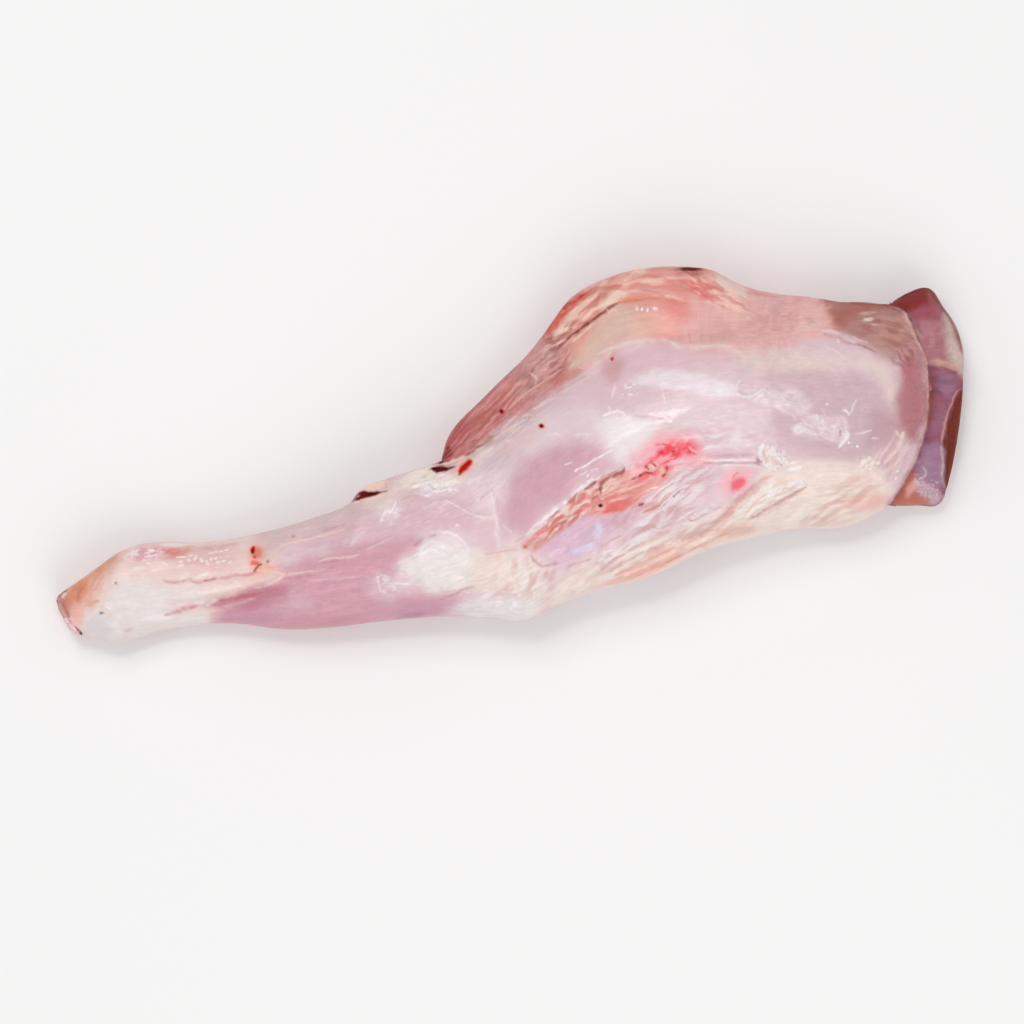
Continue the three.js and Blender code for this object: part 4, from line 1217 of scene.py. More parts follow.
# %% Tufts of the fluffy fat
LINES += [
    ("silver", 2.2, 0.8, 0.3, [(760, 456), (760, 448), (765, 444)]),
    ("silver", 2.0, 0.75, 0.3, [(769, 449), (774, 454), (780, 458)]),
    ("silver", 1.3, 0.75, 0.25, [(785, 462), (790, 463), (797, 462)]),
    ("silver", 1.6, 0.8, 0.3, [(788, 470), (794, 470), (799, 468), (801, 469)]),
    ("silver", 1.3, 0.75, 0.25, [(763, 462), (768, 468)]),
    ("dusty rose", 1.1, 0.5, -0.15, [(763, 450), (765, 457), (767, 463)]),
    ("dusty rose", 1.1, 0.45, -0.15, [(772, 458), (777, 463), (784, 466)]),
]
print(len(LINES), "lines in all")

# %% Edges where one layer lies over another
# Each edge: its marks, how far each side is drawn in pixels, its rise on the left of the run and its drop
# on the right.
LAYER_EDGES = [
    # Upper arm over the crook
    ([(518, 540), (562, 507), (582, 488), (594, 480), (622, 467)], 7, 0.7, 0.35),
    # Blade end over the folded end
    ([(890, 503), (913, 465), (920, 448), (925, 430), (928, 408), (928, 378), (926, 362), (914, 328),
        (907, 312), (887, 305)], 7, 0.6, 1.5),
    # Limb over the breast layer
    ([(583, 378), (522, 414), (504, 428), (475, 448), (455, 459)], 7, 0.5, 0.8),
    # Fluffy fat on the blade
    ([(761, 441), (757, 449), (758, 457), (763, 465)], 5, 0.6, 0.2),
]
print(len(LAYER_EDGES), "edges of layers")

# %% [markdown]
# ## Drawing a layer
# One function draws everything in the tables, in order, on whatever net of points it is given. Relief and
# paint both call it, so a fold and its colour can't slip apart.

# %% Everything drawn, in order
BREAKS = 0.55  # how far a line fades at its weakest places
SHARP_EDGE = 4  # pixels of softness below which an area's edge needs small faces
SMALL = 8  # pixels of half-width below which a patch does


def areas_drawn(skin, areas, seed):
    for tint, soft, strength, height, outline in areas.values():
        seed += 1
        yield *area(skin, outline, soft, seed), tint, strength, height, soft < SHARP_EDGE


def patches_drawn(skin, patches, seed):
    for tint, middle, half, degrees, strength, height in patches:
        seed += 1
        yield *oval(skin, middle, half, degrees, seed), tint, strength, height, min(half) < SMALL


def wrinkles_drawn(skin, seed):
    for middle, half, degrees, spacing, length, height, low, high, strength in WRINKLES:
        seed += 1
        chosen, weight, crest = wrinkle_crests(skin, middle, half, degrees, spacing, length, seed)
        # Furrows take the darker tint, which paints their shade; crests take the pale film tint.
        yield chosen, weight * smooth_step(0.1, -0.9, crest), low, strength, -0.5 * height, True
        yield chosen, weight * smooth_step(0.1, 0.9, crest), high, strength, 0.5 * height, True


def flecks_drawn(skin, seed):
    for tint, middle, half, degrees, size, cover, strength, height in FLECKS:
        seed += 1
        yield *flecks(skin, middle, half, degrees, size, cover, seed), tint, strength, height, True


def lines_drawn(skin, seed):
    for tint, width, strength, height, marks in LINES:
        seed += 1
        chosen, weight, _ = stroke(skin, marks, width, seed)
        broken = 1 - BREAKS * smooth_step(-0.1, 0.7, noise(skin.pixels[chosen], 8, seed + 30))
        yield chosen, weight * broken, tint, strength, height, True


def layers(skin):
    """For each layer: its points, their weight, its tint, strength and height, and whether it is fine."""
    # Each table has its own run of seeds, so that no two rows share a noise.
    yield from areas_drawn(skin, AREAS, 0)
    details = itertools.chain(
        patches_drawn(skin, PATCHES, 100),
        wrinkles_drawn(skin, 300),
        flecks_drawn(skin, 400),
        lines_drawn(skin, 500),
        areas_drawn(skin, CUTS, 1000),
        patches_drawn(skin, SPOTS, 1100),
    )
    for chosen, weight, *look in details:
        yield chosen, weight * skin.seen[chosen], *look


# %% [markdown]
# ## Relief
# Films overlap, grooves part the muscles, torn fibres stand up a little. Each layer pushes the skin out or
# in by its height. The edges where a muscle lies over another are steps: up on one side of a line, down
# on the other. A faint unevenness everywhere keeps the highlights from looking like plastic.

# %% Broad swellings
# Each swelling: its middle, half-sizes in pixels, turn in degrees and height.
SWELLINGS = [
    ((106, 627), (20, 12), 0, 1.0),  # knuckle
    ((575, 540), (34, 12), 28, -1.4),  # hollow of the crook
    ((668, 450), (26, 13), 30, -1.0),  # hollow of the blood
    ((738, 483), (9, 7), 40, -0.7),  # and of the spot beside it
    ((771, 457), (14, 10), -35, 0.9),  # fluffy fat
    ((868, 465), (9, 7), 0, 0.8),  # fat on the blade
]
print(len(SWELLINGS), "swellings and hollows")


# %% Raise the skin
UNEVEN = 0.06  # millimetres
UNEVEN_SIZE = 3.4


def relief(skin):
    """How far each point moves out, in millimetres, and how fine the detail is there, from 0 to 1."""
    height = UNEVEN * skin.upper * noise(skin.points / MM, UNEVEN_SIZE, 70, octaves=2)
    fine = np.zeros(len(skin.points))
    for seed, (middle, half, degrees, rise) in enumerate(SWELLINGS):
        chosen, weight = oval(skin, middle, half, degrees, 1200 + seed, soft=0.8)
        height[chosen] += rise * weight
    for seed, (marks, width, rise, drop) in enumerate(LAYER_EDGES):
        chosen, weight, side = stroke(skin, marks, width, 1300 + seed)
        over = smooth_step(0.9, -0.9, side)
        height[chosen] += weight * (rise * over - drop * (1 - over))
        fine[chosen] = np.maximum(fine[chosen], weight * (np.abs(side) < 3))
    for chosen, weight, _, strength, rise, detailed in layers(skin):
        height[chosen] += rise * weight
        if detailed:
            fine[chosen] = np.maximum(fine[chosen], strength * np.minimum(1, 1.5 * weight))
    return height, fine


def store(mesh, name, kind, values):
    attribute = mesh.attributes.new(name, kind, "POINT")
    field = {"FLOAT_COLOR": "color", "FLOAT_VECTOR": "vector", "FLOAT": "value"}[kind]
    attribute.data.foreach_set(field, np.ascontiguousarray(values, np.float32).ravel())


def raise_skin(mesh):
    skin = Skin(mesh)
    store(mesh, "facing", "FLOAT", skin.normals[:, 2])
    height, fine = relief(skin)
    moved = skin.points + skin.normals * height[:, None] * MM
    moved[:, 2] = np.maximum(moved[:, 2], 0)
    mesh.vertices.foreach_set("co", moved.astype(np.float32).ravel())
    mesh.update()
    store(mesh, "fine", "FLOAT", fine)
    print("relief from", round(height.min(), 2), "to", round(height.max(), 2), "mm")


raise_skin(skin_mesh)

# %% [markdown]
# ## Faces where they are needed
# The net is equally fine everywhere, but the underside and the smooth films need few faces. A Decimate
# modifier held by a vertex group thins just those: first the underside, then the plainest part of the
# upper side, and the strands, folds and torn flecks keep the fine net.

# %% Thin the plain places
MOST_TRIANGLES = 197_000
UNDER_FACING = -0.6  # upward share of the normal, below which a face is underside
UNDER_SHARE = 0.05  # of the underside's triangles are kept
FINE_TRIANGLES = 118_000  # kept as they are
PLAIN = 0.02  # detail below which a place is always plain


def thinned(mesh, group_points, ratio, name):
    draft = linked_object("thinning draft", mesh)
    group = draft.vertex_groups.new(name="plain places")
    group.add(np.flatnonzero(group_points).tolist(), 1.0, "REPLACE")
    thin = draft.modifiers.new("thin the plain places", "DECIMATE")
    thin.ratio = ratio
    thin.vertex_group = group.name
    return baked_mesh(draft, name)


def triangle_count(mesh):
    mesh.calc_loop_triangles()
    return len(mesh.loop_triangles)


def thinned_skin(mesh):
    under = mesh_array(mesh.vertex_normals, "vector", 3)[:, 2] < UNDER_FACING
    mesh = thinned(mesh, under, 1 - under.mean() * (1 - UNDER_SHARE), "skin with a plain underside")
    print("underside thinned:", triangle_count(mesh), "triangles")
    fine = mesh_array(mesh.attributes["fine"].data, "value", 1)[:, 0]
    least = np.sort(fine)[-FINE_TRIANGLES // 2]
    plain = fine < max(least, PLAIN)
    return thinned(mesh, plain, MOST_TRIANGLES / triangle_count(mesh), "goat shoulder skin")


meat_mesh = thinned_skin(skin_mesh)
print("thinned skin:", triangle_count(meat_mesh), "triangles")

# %% [markdown]
# ## Paint
# The layers are laid over a base of lilac film. Muscle fibres run along the limb, so fine streaks follow
# its middle line, which bends at the elbow. The underside, which nobody sees in the picture, gets the same
# muscle, film and fat in broad patches.

# %% Fibres
LIMB_LINE = [(40, 606), (120, 598), (200, 588), (300, 575), (400, 555), (470, 530), (540, 480), (610, 430),
             (700, 411), (800, 408), (980, 405)]
# Each place: its middle, half-sizes in pixels, turn in degrees, and how strong its broad streaks, its fine
# grain and its crinkles are.
TEXTURES = [
    ((325, 590), (120, 36), 8, 0.10, 0.28, 0.1),  # forearm
    ((360, 520), (100, 26), 18, 0.05, 0.15, 0.2),  # film over it
    ((555, 478), (62, 40), 34, 0.03, 0.12, 0.2),  # upper arm
    ((508, 400), (80, 34), 45, 0.12, 0.6, 0.4),  # breast layer
    ((170, 590), (110, 46), 4, 0.04, 0.12, 0.15),  # shank
    ((760, 400), (150, 60), 0, 0.02, 0.08, 0.25),  # blade
    ((750, 316), (190, 44), 0, 0, 0.06, 0.25),  # breast side
    ((450, 488), (66, 40), 20, 0, 0.08, 0.35),  # elbow
    ((500, 590), (80, 36), 0, 0, 0.08, 0.3),
    ((640, 500), (110, 40), 35, 0, 0.12, 0.35),  # crook
    ((730, 525), (180, 40), 18, 0, 0.06, 0.25),  # lower fat
    ((945, 400), (40, 120), 0, 0, 0.2, 0.4),  # folded end
]
PLAIN_TEXTURE = (0.08, 0.1)
STREAK_LENGTH = 46  # pixels
STREAK_WIDTH = 2.6


def limb_places(skin):
    """Distance along the limb's middle line and out from it, in pixels."""
    line = smooth_path(LIMB_LINE)
    length = np.linalg.norm(np.diff(line, axis=0), axis=1).sum()
    rows = []
    for block in np.array_split(skin.pixels, 40):
        reach, side, along = beside(block, line)
        rows.append(np.stack([along * length, reach * side], axis=1))
    return np.concatenate(rows)


# %% Underside
def underside_tint(skin):
    spots = skin.points / MM
    film = smooth_step(-0.1, 0.5, noise(spots, 38, 300, octaves=3))[:, None]
    fat = smooth_step(0.15, 0.6, noise(spots, 30, 310, octaves=3))[:, None]
    tint = TINTS["rose"] + film * (TINTS["pale lilac"] - TINTS["rose"])
    return tint + 0.8 * fat * (TINTS["warm cream"] - tint)


# %% Cut end of the knuckle
CUT_MIDDLE = (-172.3, -59.5, 11)  # of the knuckle's cut end, in millimetres
CUT_FACING = (-0.861, -0.509, 0.2)
CUT_RINGS = [("terracotta", 13), ("pale salmon", 9), ("tendon", 6.5), ("blush", 3)]  # and their reach


def joint_cut(skin, tint):
    """Paints pale cartilage in a ring of flesh on the knuckle's cut end, which hardly shows from above."""
    spots = skin.points / MM
    out = np.linalg.norm(spots - CUT_MIDDLE, axis=1) + 1.5 * noise(spots, 5, 1500)
    on_cut = smooth_step(0.45, 0.75, skin.normals @ CUT_FACING) * (1 - skin.seen)
    for name, reach in CUT_RINGS:
        weight = on_cut * smooth_step(reach + 0.8, reach - 0.8, out)
        tint += weight[:, None] * (TINTS[name] - tint)


# %% Upper side
def upper_tint(skin, limb):
    tint = np.tile(TINTS["lilac"], (len(skin.points), 1))
    for chosen, weight, name, strength, _, _ in layers(skin):
        tint[chosen] += (strength * weight)[:, None] * (TINTS[name] - tint[chosen])
    streak = noise(limb / (STREAK_LENGTH, STREAK_WIDTH), 1.0, 420)
    for seed, (middle, half, degrees, contrast, _, _) in enumerate(TEXTURES):
        chosen, weight = oval(skin, middle, half, degrees, 1400 + seed)
        tint[chosen] *= (1 + contrast * weight * streak[chosen])[:, None]
    return tint


# %% Where the surface is wet
GLOSSY = ("knuckle bone", "elbow pad", "film of the upper arm", "blade", "upper arm", "lilac gap")
WET = ("wet band", "blush", "crook tissue", "flap liver")
LEAST_GLOSS = 0.25
FILM_GLOSS = 0.55


def wetness(skin):
    """From a little, where fat looks dry, to 1, where blood stands."""
    total = np.full(len(skin.points), LEAST_GLOSS)
    for names, most in ((GLOSSY, FILM_GLOSS), (WET, 1.0)):
        for key in names:
            _, soft, _, _, outline = AREAS[key]
            chosen, weight = area(skin, outline, soft, 0)
            total[chosen] = np.maximum(total[chosen], most * weight)
    return total


# %% Lay the tints
MOTTLE = 0.035  # how far the tone strays
MOTTLE_SIZE = 6  # millimetres
DARK_IS_DULL = (0.03, 0.3)  # brightness from no gloss to full gloss


def finish(skin, tint):
    """Grain, crinkles and gloss of each point."""
    parts = np.tile((*PLAIN_TEXTURE, 0.0), (len(tint), 1))
    for seed, (middle, half, degrees, _, *fine) in enumerate(TEXTURES):
        chosen, weight = oval(skin, middle, half, degrees, 1400 + seed)
        parts[chosen, :2] = np.maximum(parts[chosen, :2], weight[:, None] * fine)
    parts[:, 2] = wetness(skin) * smooth_step(*DARK_IS_DULL, tint.mean(axis=1))
    return parts


def paint(mesh):
    skin = Skin(mesh)
    limb = limb_places(skin)
    below = underside_tint(skin)
    tint = below + skin.upper[:, None] * (upper_tint(skin, limb) - below)
    joint_cut(skin, tint)
    tint *= (1 + MOTTLE * noise(skin.points / MM, MOTTLE_SIZE, 480, octaves=3))[:, None]
    store(mesh, "tint", "FLOAT_COLOR", np.column_stack([np.clip(tint, 0, 1), np.ones(len(tint))]))
    store(mesh, "fibre", "FLOAT_VECTOR", np.column_stack([limb, skin.points[:, 2] / PIXEL]))
    store(mesh, "finish", "FLOAT_VECTOR", finish(skin, tint))
    print("tints laid on", len(tint), "points")


paint(meat_mesh)

# %% [markdown]
# ## The material
# Raw meat is wet, a little see-through and never one colour. The tint attribute gives the colour. Two
# node groups add what is too fine for the mesh: fibres that follow the limb, and the crinkle and shine of
# the wet film. The strands, beads and grains wear the same material, so they match the skin they lie on.


# %% Node group helpers
def new_group(name, inputs, outputs):
    group = bpy.data.node_groups.new(name, "ShaderNodeTree")
    for label, kind, value in inputs:
        socket = group.interface.new_socket(label, in_out="INPUT", socket_type=kind)
        if value is not None:
            socket.default_value = value
    for label, kind in outputs:
        group.interface.new_socket(label, in_out="OUTPUT", socket_type=kind)
    return group, group.nodes.new("NodeGroupInput"), group.nodes.new("NodeGroupOutput")


def add_node(tree, kind, links=(), **settings):
    """A node with its settings, and with (socket, source or value) pairs put on its inputs."""
    node = tree.nodes.new(kind)
    for key, value in settings.items():
        setattr(node, key, value)
    for socket, source in links:
        if isinstance(source, bpy.types.NodeSocket):
            tree.links.new(source, node.inputs[socket])
        else:
            node.inputs[socket].default_value = source
    return node


def calculated(tree, operation, *values):
    return add_node(tree, "ShaderNodeMath", list(enumerate(values)), operation=operation).outputs[0]


# %% Fibre grain
FIBRE_STRETCH = (0.03, 0.55, 0.55)  # long along the limb, fine across it
FOLD_STRETCH = (0.07, 0.28, 0.28)


def fibre_grain_group():
    """Fine streaks along the limb and short torn fibres, as a tone about 1 and a height."""
    group, given, made = new_group(
        "fibre grain",
        [
            ("Place", "NodeSocketVector", None),
            ("Grain", "NodeSocketFloat", 0.2),
            ("Crinkles", "NodeSocketFloat", 0.2),
        ],
        [("Tone", "NodeSocketFloat"), ("Height", "NodeSocketFloat")],
    )
    place = given.outputs["Place"]
    crinkles = given.outputs["Crinkles"]
    stretch = add_node(group, "ShaderNodeVectorMath", [(0, place), (1, FIBRE_STRETCH)], operation="MULTIPLY")
    streak = add_node(group, "ShaderNodeTexNoise", [
        ("Vector", stretch.outputs[0]),
        ("Scale", 1.0),
        ("Detail", 4.0),
        ("Roughness", 0.6),
    ]).outputs["Fac"]
    swing = calculated(group, "SUBTRACT", streak, 0.5)
    squeeze = add_node(group, "ShaderNodeVectorMath", [(0, place), (1, FOLD_STRETCH)], operation="MULTIPLY")
    folds = add_node(group, "ShaderNodeTexNoise", [
        ("Vector", squeeze.outputs[0]),
        ("Scale", 1.0),
        ("Detail", 3.0),
        ("Roughness", 0.5),
        ("Distortion", 0.8),
    ]).outputs["Fac"]
    crest = add_node(group, "ShaderNodeMapRange", [("Value", folds), ("From Min", 0.52), ("From Max", 0.68)])
    fold = calculated(group, "MULTIPLY", crest.outputs["Result"], crinkles)
    # The furrows between the folds are darkened in the tone: painted shade.
    lean = calculated(group, "MINIMUM", calculated(group, "SUBTRACT", folds, 0.5), 0.0)
    furrow_shade = calculated(group, "MULTIPLY", lean, crinkles)
    tone = calculated(group, "MULTIPLY_ADD", swing, given.outputs["Grain"], 1.0)
    tone = calculated(group, "MULTIPLY_ADD", furrow_shade, 1.2, tone)
    tone = calculated(group, "MULTIPLY_ADD", fold, 0.3, tone)
    ridge = calculated(group, "MULTIPLY", streak, given.outputs["Grain"])
    height = calculated(group, "MULTIPLY_ADD", fold, 1.4, calculated(group, "MULTIPLY", ridge, 1.8))
    group.links.new(tone, made.inputs["Tone"])
    group.links.new(height, made.inputs["Height"])
    return group


# %% Wet film
def wet_film_group():
    """Crinkles, pores and shine of the wet surface."""
    group, given, made = new_group(
        "wet film",
        [
            ("Place", "NodeSocketVector", None),
            ("Gloss", "NodeSocketFloat", 0.5),
            ("Size", "NodeSocketFloat", 300.0),
        ],
        [("Height", "NodeSocketFloat"), ("Roughness", "NodeSocketFloat"), ("Coat", "NodeSocketFloat")],
    )
    place = given.outputs["Place"]
    crinkle = add_node(group, "ShaderNodeTexNoise", [
        ("Vector", place),
        ("Scale", given.outputs["Size"]),
        ("Detail", 4.0),
        ("Roughness", 0.55),
        ("Distortion", 0.6),
    ])
    blot = add_node(group, "ShaderNodeTexNoise", [("Vector", place), ("Scale", 60.0), ("Detail", 3.0)])
    patchy = calculated(group, "MULTIPLY_ADD", blot.outputs["Fac"], 1.6, 0.2)
    gloss = calculated(group, "MULTIPLY", given.outputs["Gloss"], patchy)
    wet = add_node(group, "ShaderNodeClamp", [("Value", gloss)]).outputs[0]
    rough = add_node(group, "ShaderNodeMapRange", [("Value", wet), ("To Min", 0.58), ("To Max", 0.3)])
    coat = calculated(group, "MULTIPLY", wet, 0.5)
    group.links.new(crinkle.outputs["Fac"], made.inputs["Height"])
    group.links.new(rough.outputs["Result"], made.inputs["Roughness"])
    group.links.new(coat, made.inputs["Coat"])
    return group


FIBRE_GRAIN = fibre_grain_group()
WET_FILM = wet_film_group()
print("node groups:", FIBRE_GRAIN.name, "and", WET_FILM.name)


# %% Raw meat
SCATTER_SCALE = 0.6 * MM
SCATTER_COLOURS = (1.0, 0.42, 0.34)


def fleshy_shader(material):
    """The Principled shader of a material, set up as wet flesh."""
    material.use_nodes = True
    shader = material.node_tree.nodes["Principled BSDF"]
    shader.inputs["Subsurface Weight"].default_value = 0.1
    shader.inputs["Subsurface Radius"].default_value = SCATTER_COLOURS
    shader.inputs["Subsurface Scale"].default_value = SCATTER_SCALE
    shader.inputs["Coat Roughness"].default_value = 0.14
    shader.inputs["Specular IOR Level"].default_value = 0.02
    return shader


def raw_meat():
    material = bpy.data.materials.new("raw meat")
    shader = fleshy_shader(material)
    tree = material.node_tree
    tint = add_node(tree, "ShaderNodeAttribute", attribute_name="tint")
    fibre = add_node(tree, "ShaderNodeAttribute", attribute_name="fibre")
    finish_of = add_node(tree, "ShaderNodeAttribute", attribute_name="finish")
    parts = add_node(tree, "ShaderNodeSeparateXYZ", [(0, finish_of.outputs["Vector"])]).outputs
    place = add_node(tree, "ShaderNodeTexCoord")
    grain = add_node(tree, "ShaderNodeGroup", [
        ("Place", fibre.outputs["Vector"]),
        ("Grain", parts[0]),
        ("Crinkles", parts[1]),
    ], node_tree=FIBRE_GRAIN)
    film = add_node(tree, "ShaderNodeGroup", [
        ("Place", place.outputs["Object"]),
        ("Gloss", parts[2]),
        ("Size", 380.0),
    ], node_tree=WET_FILM)
    toned = add_node(tree, "ShaderNodeVectorMath", [
        (0, tint.outputs["Color"]),
        ("Scale", grain.outputs["Tone"]),
    ], operation="SCALE")
    height = calculated(tree, "ADD", grain.outputs["Height"], film.outputs["Height"])
    bump = add_node(tree, "ShaderNodeBump", [("Height", height), ("Strength", 0.25), ("Distance", 0.5 * MM)])
    tree.links.new(toned.outputs[0], shader.inputs["Base Color"])
    tree.links.new(film.outputs["Roughness"], shader.inputs["Roughness"])
    tree.links.new(film.outputs["Coat"], shader.inputs["Coat Weight"])
    tree.links.new(bump.outputs[0], shader.inputs["Normal"])
    return material


# %% The meat piece
meat_mesh.materials.clear()
meat_mesh.materials.append(raw_meat())
meat_mesh.shade_smooth()
for helper in ("fine", "facing"):
    meat_mesh.attributes.remove(meat_mesh.attributes[helper])
meat = linked_object("goat_shoulder_meat", meat_mesh)
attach(meat, "root")
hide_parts("goat_shoulder")
print("meat:", triangle_count(meat_mesh), "triangles")

# %% [markdown]
# ## Strands of film
# Torn film rolls up into thin cords that lie on the muscle. A cord follows a path, which is what Geometry
# Nodes do best: the tree turns each path into a tube, thick in the middle and thin at its ends. The paths
# are found by looking from the camera through the drawn marks to where they meet the meat.

# %% Where the strands lie
# Each strand: a tint, its half thickness in millimetres, and its marks.
STRANDS = [
    # Forearm
    ("shank film", 0.30, [(277, 549), (283, 545), (290, 543), (303, 540), (315, 537), (325, 534)]),
    ("shank film", 0.26, [(318, 561), (327, 559), (333, 557.5), (340, 558), (350, 556)]),
    ("shank film", 0.28, [(285, 575), (297, 573), (305, 572), (315, 570)]),
    ("warm cream", 0.36, [(268, 586), (276, 580), (284, 573)]),
    ("milk", 0.28, [(380, 521), (384, 514), (389, 510)]),
    ("silver", 0.28, [(389, 513), (394, 507), (396, 500)]),
    # Elbow
    ("shank film", 0.45, [(436, 465), (446, 463.5), (460, 459), (470, 455)]),
    ("silver", 0.30, [(427, 481), (428, 487), (433, 492)]),
    ("tendon", 0.42, [(471, 514), (481, 517), (488, 518), (495, 518)]),
    ("milk", 0.36, [(419, 557), (422, 548), (427, 543), (433, 541), (440, 542), (447, 545)]),
    ("shank film", 0.28, [(482, 552), (495, 549), (505, 547), (520, 547)]),
    # Upper arm
    ("silver", 0.34, [(577, 470), (585, 466), (592, 461), (602, 455), (614, 449)]),
    ("warm cream", 0.32, [(520, 420), (525, 416), (530, 415), (533, 418)]),
    # Breast layer
    ("beige", 0.36, [(506, 411), (516, 402), (527, 393), (540, 384), (552, 376), (563, 368)]),
    ("blush", 0.36, [(577, 366.5), (582, 368.5), (587, 368), (592, 364)]),
    # Blade
    ("silver", 0.36, [(838, 449), (843, 443), (848, 436), (846, 430)]),
    ("silver", 0.38, [(704, 461), (730, 460), (756, 460.5)]),
    # Pleats by the crook
    ("silver", 0.28, [(647, 500), (660, 491), (672, 482), (682, 478)]),
    ("silver", 0.28, [(659, 508), (668, 499), (680, 489), (691, 484)]),
    # Folded end
    ("dusty rose", 0.42, [(960, 388), (955, 394), (952, 402), (948, 412), (945, 422), (943, 432),
        (941, 443)]),
]
SUNK = 0.35  # share of the half thickness by which a strand's middle lies under the skin
STRAND_BLEND = 0.4  # how much of the skin's own tint a strand takes on
STRAND_FINISH = (0, 0, 0.3)  # no grain or crinkles, and a soft gloss
print(len(STRANDS), "strands")


# %% Places on the meat
def on_meat(pixels):
    """Where lines of sight through these pixels meet the meat, and the normals and tints there."""
    skin_tint = mesh_array(meat_mesh.attributes["tint"].data, "color", 4)
    places = []
    normals = []
    tints = []
    for across, down in pixels:
        aside = (across - picture_middle) / pixels_per_slope
        upward = (picture_middle - down) / pixels_per_slope
        sight = Vector((aside, upward, -1))
        met, place, normal, face = meat.ray_cast(camera.location, sight.normalized())
        assert met, "no meat at this pixel"
        places.append(place)
        normals.append(normal)
        tints.append(skin_tint[meat_mesh.polygons[face].vertices[0]])
    return np.array(places), np.array(normals), np.array(tints)


def blended(name, skin_tint, share):
    return share * skin_tint + (1 - share) * np.array((*TINTS[name], 1))


# %% Paths of the strands
def strand_paths():
    """All paths as one mesh of edges, with the thickness and the tint at every point."""
    points = []
    edges = []
    thickness = []
    tints = []
    for seed, (tint, radius, marks) in enumerate(STRANDS):
        line = smooth_path(marks, steps=4)
        line = line + 0.5 * wander(line, seed, size=6)
        places, normals, under = on_meat(line)
        around = radius * MM * (1 + 0.4 * noise(line, 4, seed))
        first = len(points)
        points.extend(places - SUNK * around[:, None] * normals)
        edges.extend((k, k + 1) for k in range(first, len(points) - 1))
        thickness.extend(around)
        tints.extend(blended(tint, under, STRAND_BLEND))
    mesh = bpy.data.meshes.new("strand paths")
    mesh.from_pydata(points, edges, [])
    store(mesh, "thickness", "FLOAT", thickness)
    store(mesh, "tint", "FLOAT_COLOR", tints)
    store(mesh, "finish", "FLOAT_VECTOR", np.tile(STRAND_FINISH, (len(points), 1)))
    return mesh


# %% Geometry node helpers
def geometry_tree(name, inputs):
    """A node tree that takes a geometry and the named inputs, and gives a geometry."""
    tree = bpy.data.node_groups.new(name, "GeometryNodeTree")
    tree.interface.new_socket("Geometry", in_out="INPUT", socket_type="NodeSocketGeometry")
    for label, kind in inputs:
        tree.interface.new_socket(label, in_out="INPUT", socket_type=kind)
    tree.interface.new_socket("Geometry", in_out="OUTPUT", socket_type="NodeSocketGeometry")
    return tree, tree.nodes.new("NodeGroupInput"), tree.nodes.new("NodeGroupOutput")


def finish_tree(tree, given, made, geometry):
    """Ends a tree: real meshes, smooth, with the material."""
    real = add_node(tree, "GeometryNodeRealizeInstances", [(0, geometry)])
    smooth = add_node(tree, "GeometryNodeSetShadeSmooth", [(0, real.outputs[0])])
    material = given.outputs["Material"]
    coloured = add_node(tree, "GeometryNodeSetMaterial", [(0, smooth.outputs[0]), (2, material)])
    tree.links.new(coloured.outputs[0], made.inputs[0])


def stored(tree, name, kind):
    node = add_node(tree, "GeometryNodeInputNamedAttribute", data_type=kind)
    node.inputs["Name"].default_value = name
    return node.outputs["Attribute"]


def grown(name, mesh, tree, values):
    """A piece made by running a node tree on a mesh with these inputs."""
    draft = linked_object(name + " draft", mesh)
    grow = draft.modifiers.new("grow", "NODES")
    grow.node_group = tree
    for item in tree.interface.items_tree:
        if item.in_out == "INPUT" and item.name in values:
            grow[item.identifier] = values[item.name]
    piece = linked_object(name, baked_mesh(draft, name))
    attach(piece, "root")
    print(name + ":", triangle_count(piece.data), "triangles")
    return piece


# %% Tubes along the paths
def strand_tree():
    tree, given, made = geometry_tree("strands along paths", [
        ("Sides", "NodeSocketInt"),
        ("Material", "NodeSocketMaterial"),
    ])
    sides = given.outputs["Sides"]
    path = add_node(tree, "GeometryNodeMeshToCurve", [(0, given.outputs["Geometry"])]).outputs[0]
    ring = add_node(tree, "GeometryNodeCurvePrimitiveCircle", [("Resolution", sides), (4, 1.0)]).outputs[0]
    share = add_node(tree, "GeometryNodeSplineParameter").outputs["Factor"]
    rest = calculated(tree, "SUBTRACT", 4.0, calculated(tree, "MULTIPLY", share, 4.0))
    hump = calculated(tree, "MULTIPLY", share, rest)
    taper = calculated(tree, "MAXIMUM", calculated(tree, "POWER", hump, 0.5), 0.25)
    size = calculated(tree, "MULTIPLY", taper, stored(tree, "thickness", "FLOAT"))
    tube = add_node(tree, "GeometryNodeCurveToMesh", [(0, path), (1, ring), (2, size), (3, True)])
    finish_tree(tree, given, made, tube.outputs[0])
    return tree


bpy.context.view_layer.update()
RAW_MEAT = meat_mesh.materials[0]
grown("film_strands", strand_paths(), strand_tree(), {"Sides": 8, "Material": RAW_MEAT})

# %% [markdown]
# ## Beads of fat
# Along the shank, beads of fat shine through the film, and lumps of fat sit at the end of the blade. Each
# is a small ball, stretched and turned, on a place that we know: one point of a mesh for each, and a tree
# that puts a ball on every point.

